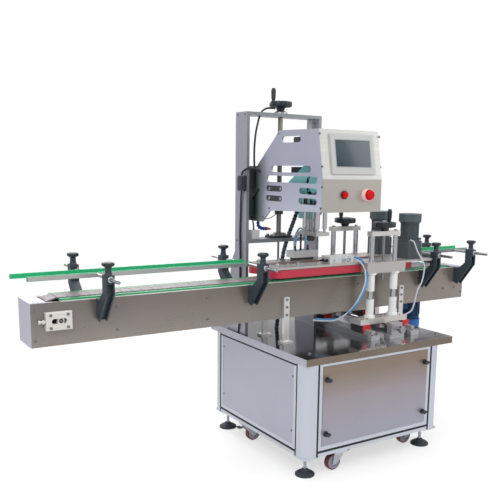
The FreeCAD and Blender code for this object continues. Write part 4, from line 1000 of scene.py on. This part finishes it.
def table_details():
    """Screws of the cross rails and their end stops, and panel screws."""
    shape = Shape()
    for x in (331, 551):
        for y in (-200, -60, 0, 60, 200):
            shape.bolt(at(x, y, 504), Z, 4, 1.0)
        for y in (-219, 219):
            for dx in (-12, 12):
                shape.bolt(at(x + dx, y, 489), Z, 4, 6)
    for side in (-1, 1):
        for dx in (-34.5, 34.5):
            for dy in (-9, 9):
                shape.bolt(at(441 + dx, side * 218 + dy, 484), Z, 3.6, 3.6)
    for y, z in ((-245, 173), (279, 173), (-245, 387), (279, 387)):
        shape.bolt(at(-91, y, z), -X, 4, 1.5)
        shape.bolt(at(601, y, z), X, 4, 1.5)
    for x, z in ((-5, 173), (515, 173), (-5, 387), (515, 387)):
        shape.bolt(at(x, 365, z), Y, 4, 1.5)
    piece("table_and_panel_screws", shape, steel_screw, "frame")


stop_details()
motor_details()
carriage_details()
table_details()

# ---------------------------------------------------------------- studio


def studio():
    scene = bpy.context.scene
    scene.view_settings.view_transform = "Standard"
    world = bpy.data.worlds.new("studio")
    scene.world = world
    world.use_nodes = True
    tree = world.node_tree
    tree.nodes.clear()
    out = tree.nodes.new("ShaderNodeOutputWorld")
    seen = tree.nodes.new("ShaderNodeBackground")
    seen.inputs["Color"].default_value = (1, 1, 1, 1)
    room = tree.nodes.new("ShaderNodeBackground")
    place = tree.nodes.new("ShaderNodeTexCoord")
    split = tree.nodes.new("ShaderNodeSeparateXYZ")
    tree.links.new(place.outputs["Generated"], split.inputs[0])
    level = tree.nodes.new("ShaderNodeMapRange")
    level.inputs[1].default_value = -1.0
    tree.links.new(split.outputs["Z"], level.inputs[0])
    ramp = tree.nodes.new("ShaderNodeValToRGB")
    tree.links.new(level.outputs[0], ramp.inputs[0])
    tree.links.new(ramp.outputs[0], room.inputs["Color"])
    stops = ((0.0, 0.92), (0.48, 0.64), (0.56, 0.64), (0.8, 0.9), (1.0, 1.0))
    ramp.color_ramp.elements[0].position, ramp.color_ramp.elements[1].position = 0.0, 1.0
    for spot, light in stops[1:-1]:
        ramp.color_ramp.elements.new(spot)
    for element, (spot, light) in zip(ramp.color_ramp.elements, stops):
        element.color = (light, light * 0.995, light * 1.01, 1)
    room.inputs["Strength"].default_value = 0.95
    path = tree.nodes.new("ShaderNodeLightPath")
    mixer = tree.nodes.new("ShaderNodeMixShader")
    tree.links.new(path.outputs["Is Camera Ray"], mixer.inputs[0])
    tree.links.new(room.outputs[0], mixer.inputs[1])
    tree.links.new(seen.outputs[0], mixer.inputs[2])
    tree.links.new(mixer.outputs[0], out.inputs[0])


def softbox(name, place, aim, size, power):
    lamp = bpy.data.lights.new(name, "AREA")
    lamp.shape = "RECTANGLE"
    lamp.size, lamp.size_y = size
    lamp.energy = power
    made = bpy.data.objects.new(name, lamp)
    bpy.context.scene.collection.objects.link(made)
    place, aim = Vector(place), Vector(aim)
    made.location = place
    made.rotation_euler = (aim - place).to_track_quat("-Z", "Y").to_euler()


def floor():
    """Pale floor that fades into the white background."""
    reach = 6.0
    mesh = bpy.data.meshes.new("studio_floor")
    mesh.from_pydata([(-reach, -reach, 0), (reach, -reach, 0), (reach, reach, 0), (-reach, reach, 0)], [],
                     [(0, 1, 2, 3)])
    look = Look("floor_paint", "FFFFFF", 0.7).smudged(0.01, 0.02)
    material = look.done()
    tree = material.node_tree
    clear = tree.nodes.new("ShaderNodeBsdfTransparent")
    size = look.node("ShaderNodeVectorMath", operation="LENGTH")
    look.put(size.inputs[0], look.coords)
    away = look.spread(size.outputs["Value"], 1.2, 3.2, 0.6, 1.0)
    mixer = tree.nodes.new("ShaderNodeMixShader")
    out = tree.nodes["Material Output"]
    tree.links.new(away, mixer.inputs[0])
    tree.links.new(look.shader.outputs[0], mixer.inputs[1])
    tree.links.new(clear.outputs[0], mixer.inputs[2])
    tree.links.new(mixer.outputs[0], out.inputs["Surface"])
    made = bpy.data.objects.new("studio_floor", mesh)
    mesh.materials.append(material)
    bpy.context.scene.collection.objects.link(made)


def camera():
    """Camera at the machine's left front, a little above its mid height, looking slightly down."""
    turn, tilt, roll = math.radians(-33.26), math.radians(9.71), math.radians(0.90)
    forward = Vector((-math.sin(turn) * math.cos(tilt), math.cos(turn) * math.cos(tilt), -math.sin(tilt)))
    right = Vector((math.cos(turn), math.sin(turn), 0))
    up = right.cross(forward)
    across = right * math.cos(roll) + up * math.sin(roll)
    upward = up * math.cos(roll) - right * math.sin(roll)
    lens = bpy.data.cameras.new("studio_camera")
    lens.lens = 50.905
    lens.sensor_width = 36.0
    lens.shift_x, lens.shift_y = -0.0441, 0.0826
    made = bpy.data.objects.new("studio_camera", lens)
    bpy.context.scene.collection.objects.link(made)
    turned = Matrix((across, upward, -forward)).transposed().to_4x4()
    made.matrix_world = Matrix.Translation(at(-1564.6, -2337.0, 1149.2)) @ turned
    bpy.context.scene.camera = made


studio()
softbox("key_light", (-2.6, -2.4, 2.9), (0.1, 0, 0.7), (2.2, 1.6), 55)
softbox("fill_light", (2.8, -2.2, 2.0), (0.2, 0, 0.7), (1.8, 1.8), 22)
softbox("top_light", (0.1, 0.3, 3.4), (0.1, 0, 0.5), (2.6, 1.6), 45)
softbox("back_light", (0.3, 3.0, 2.4), (0.1, 0, 0.8), (2.4, 1.4), 35)
floor()
camera()
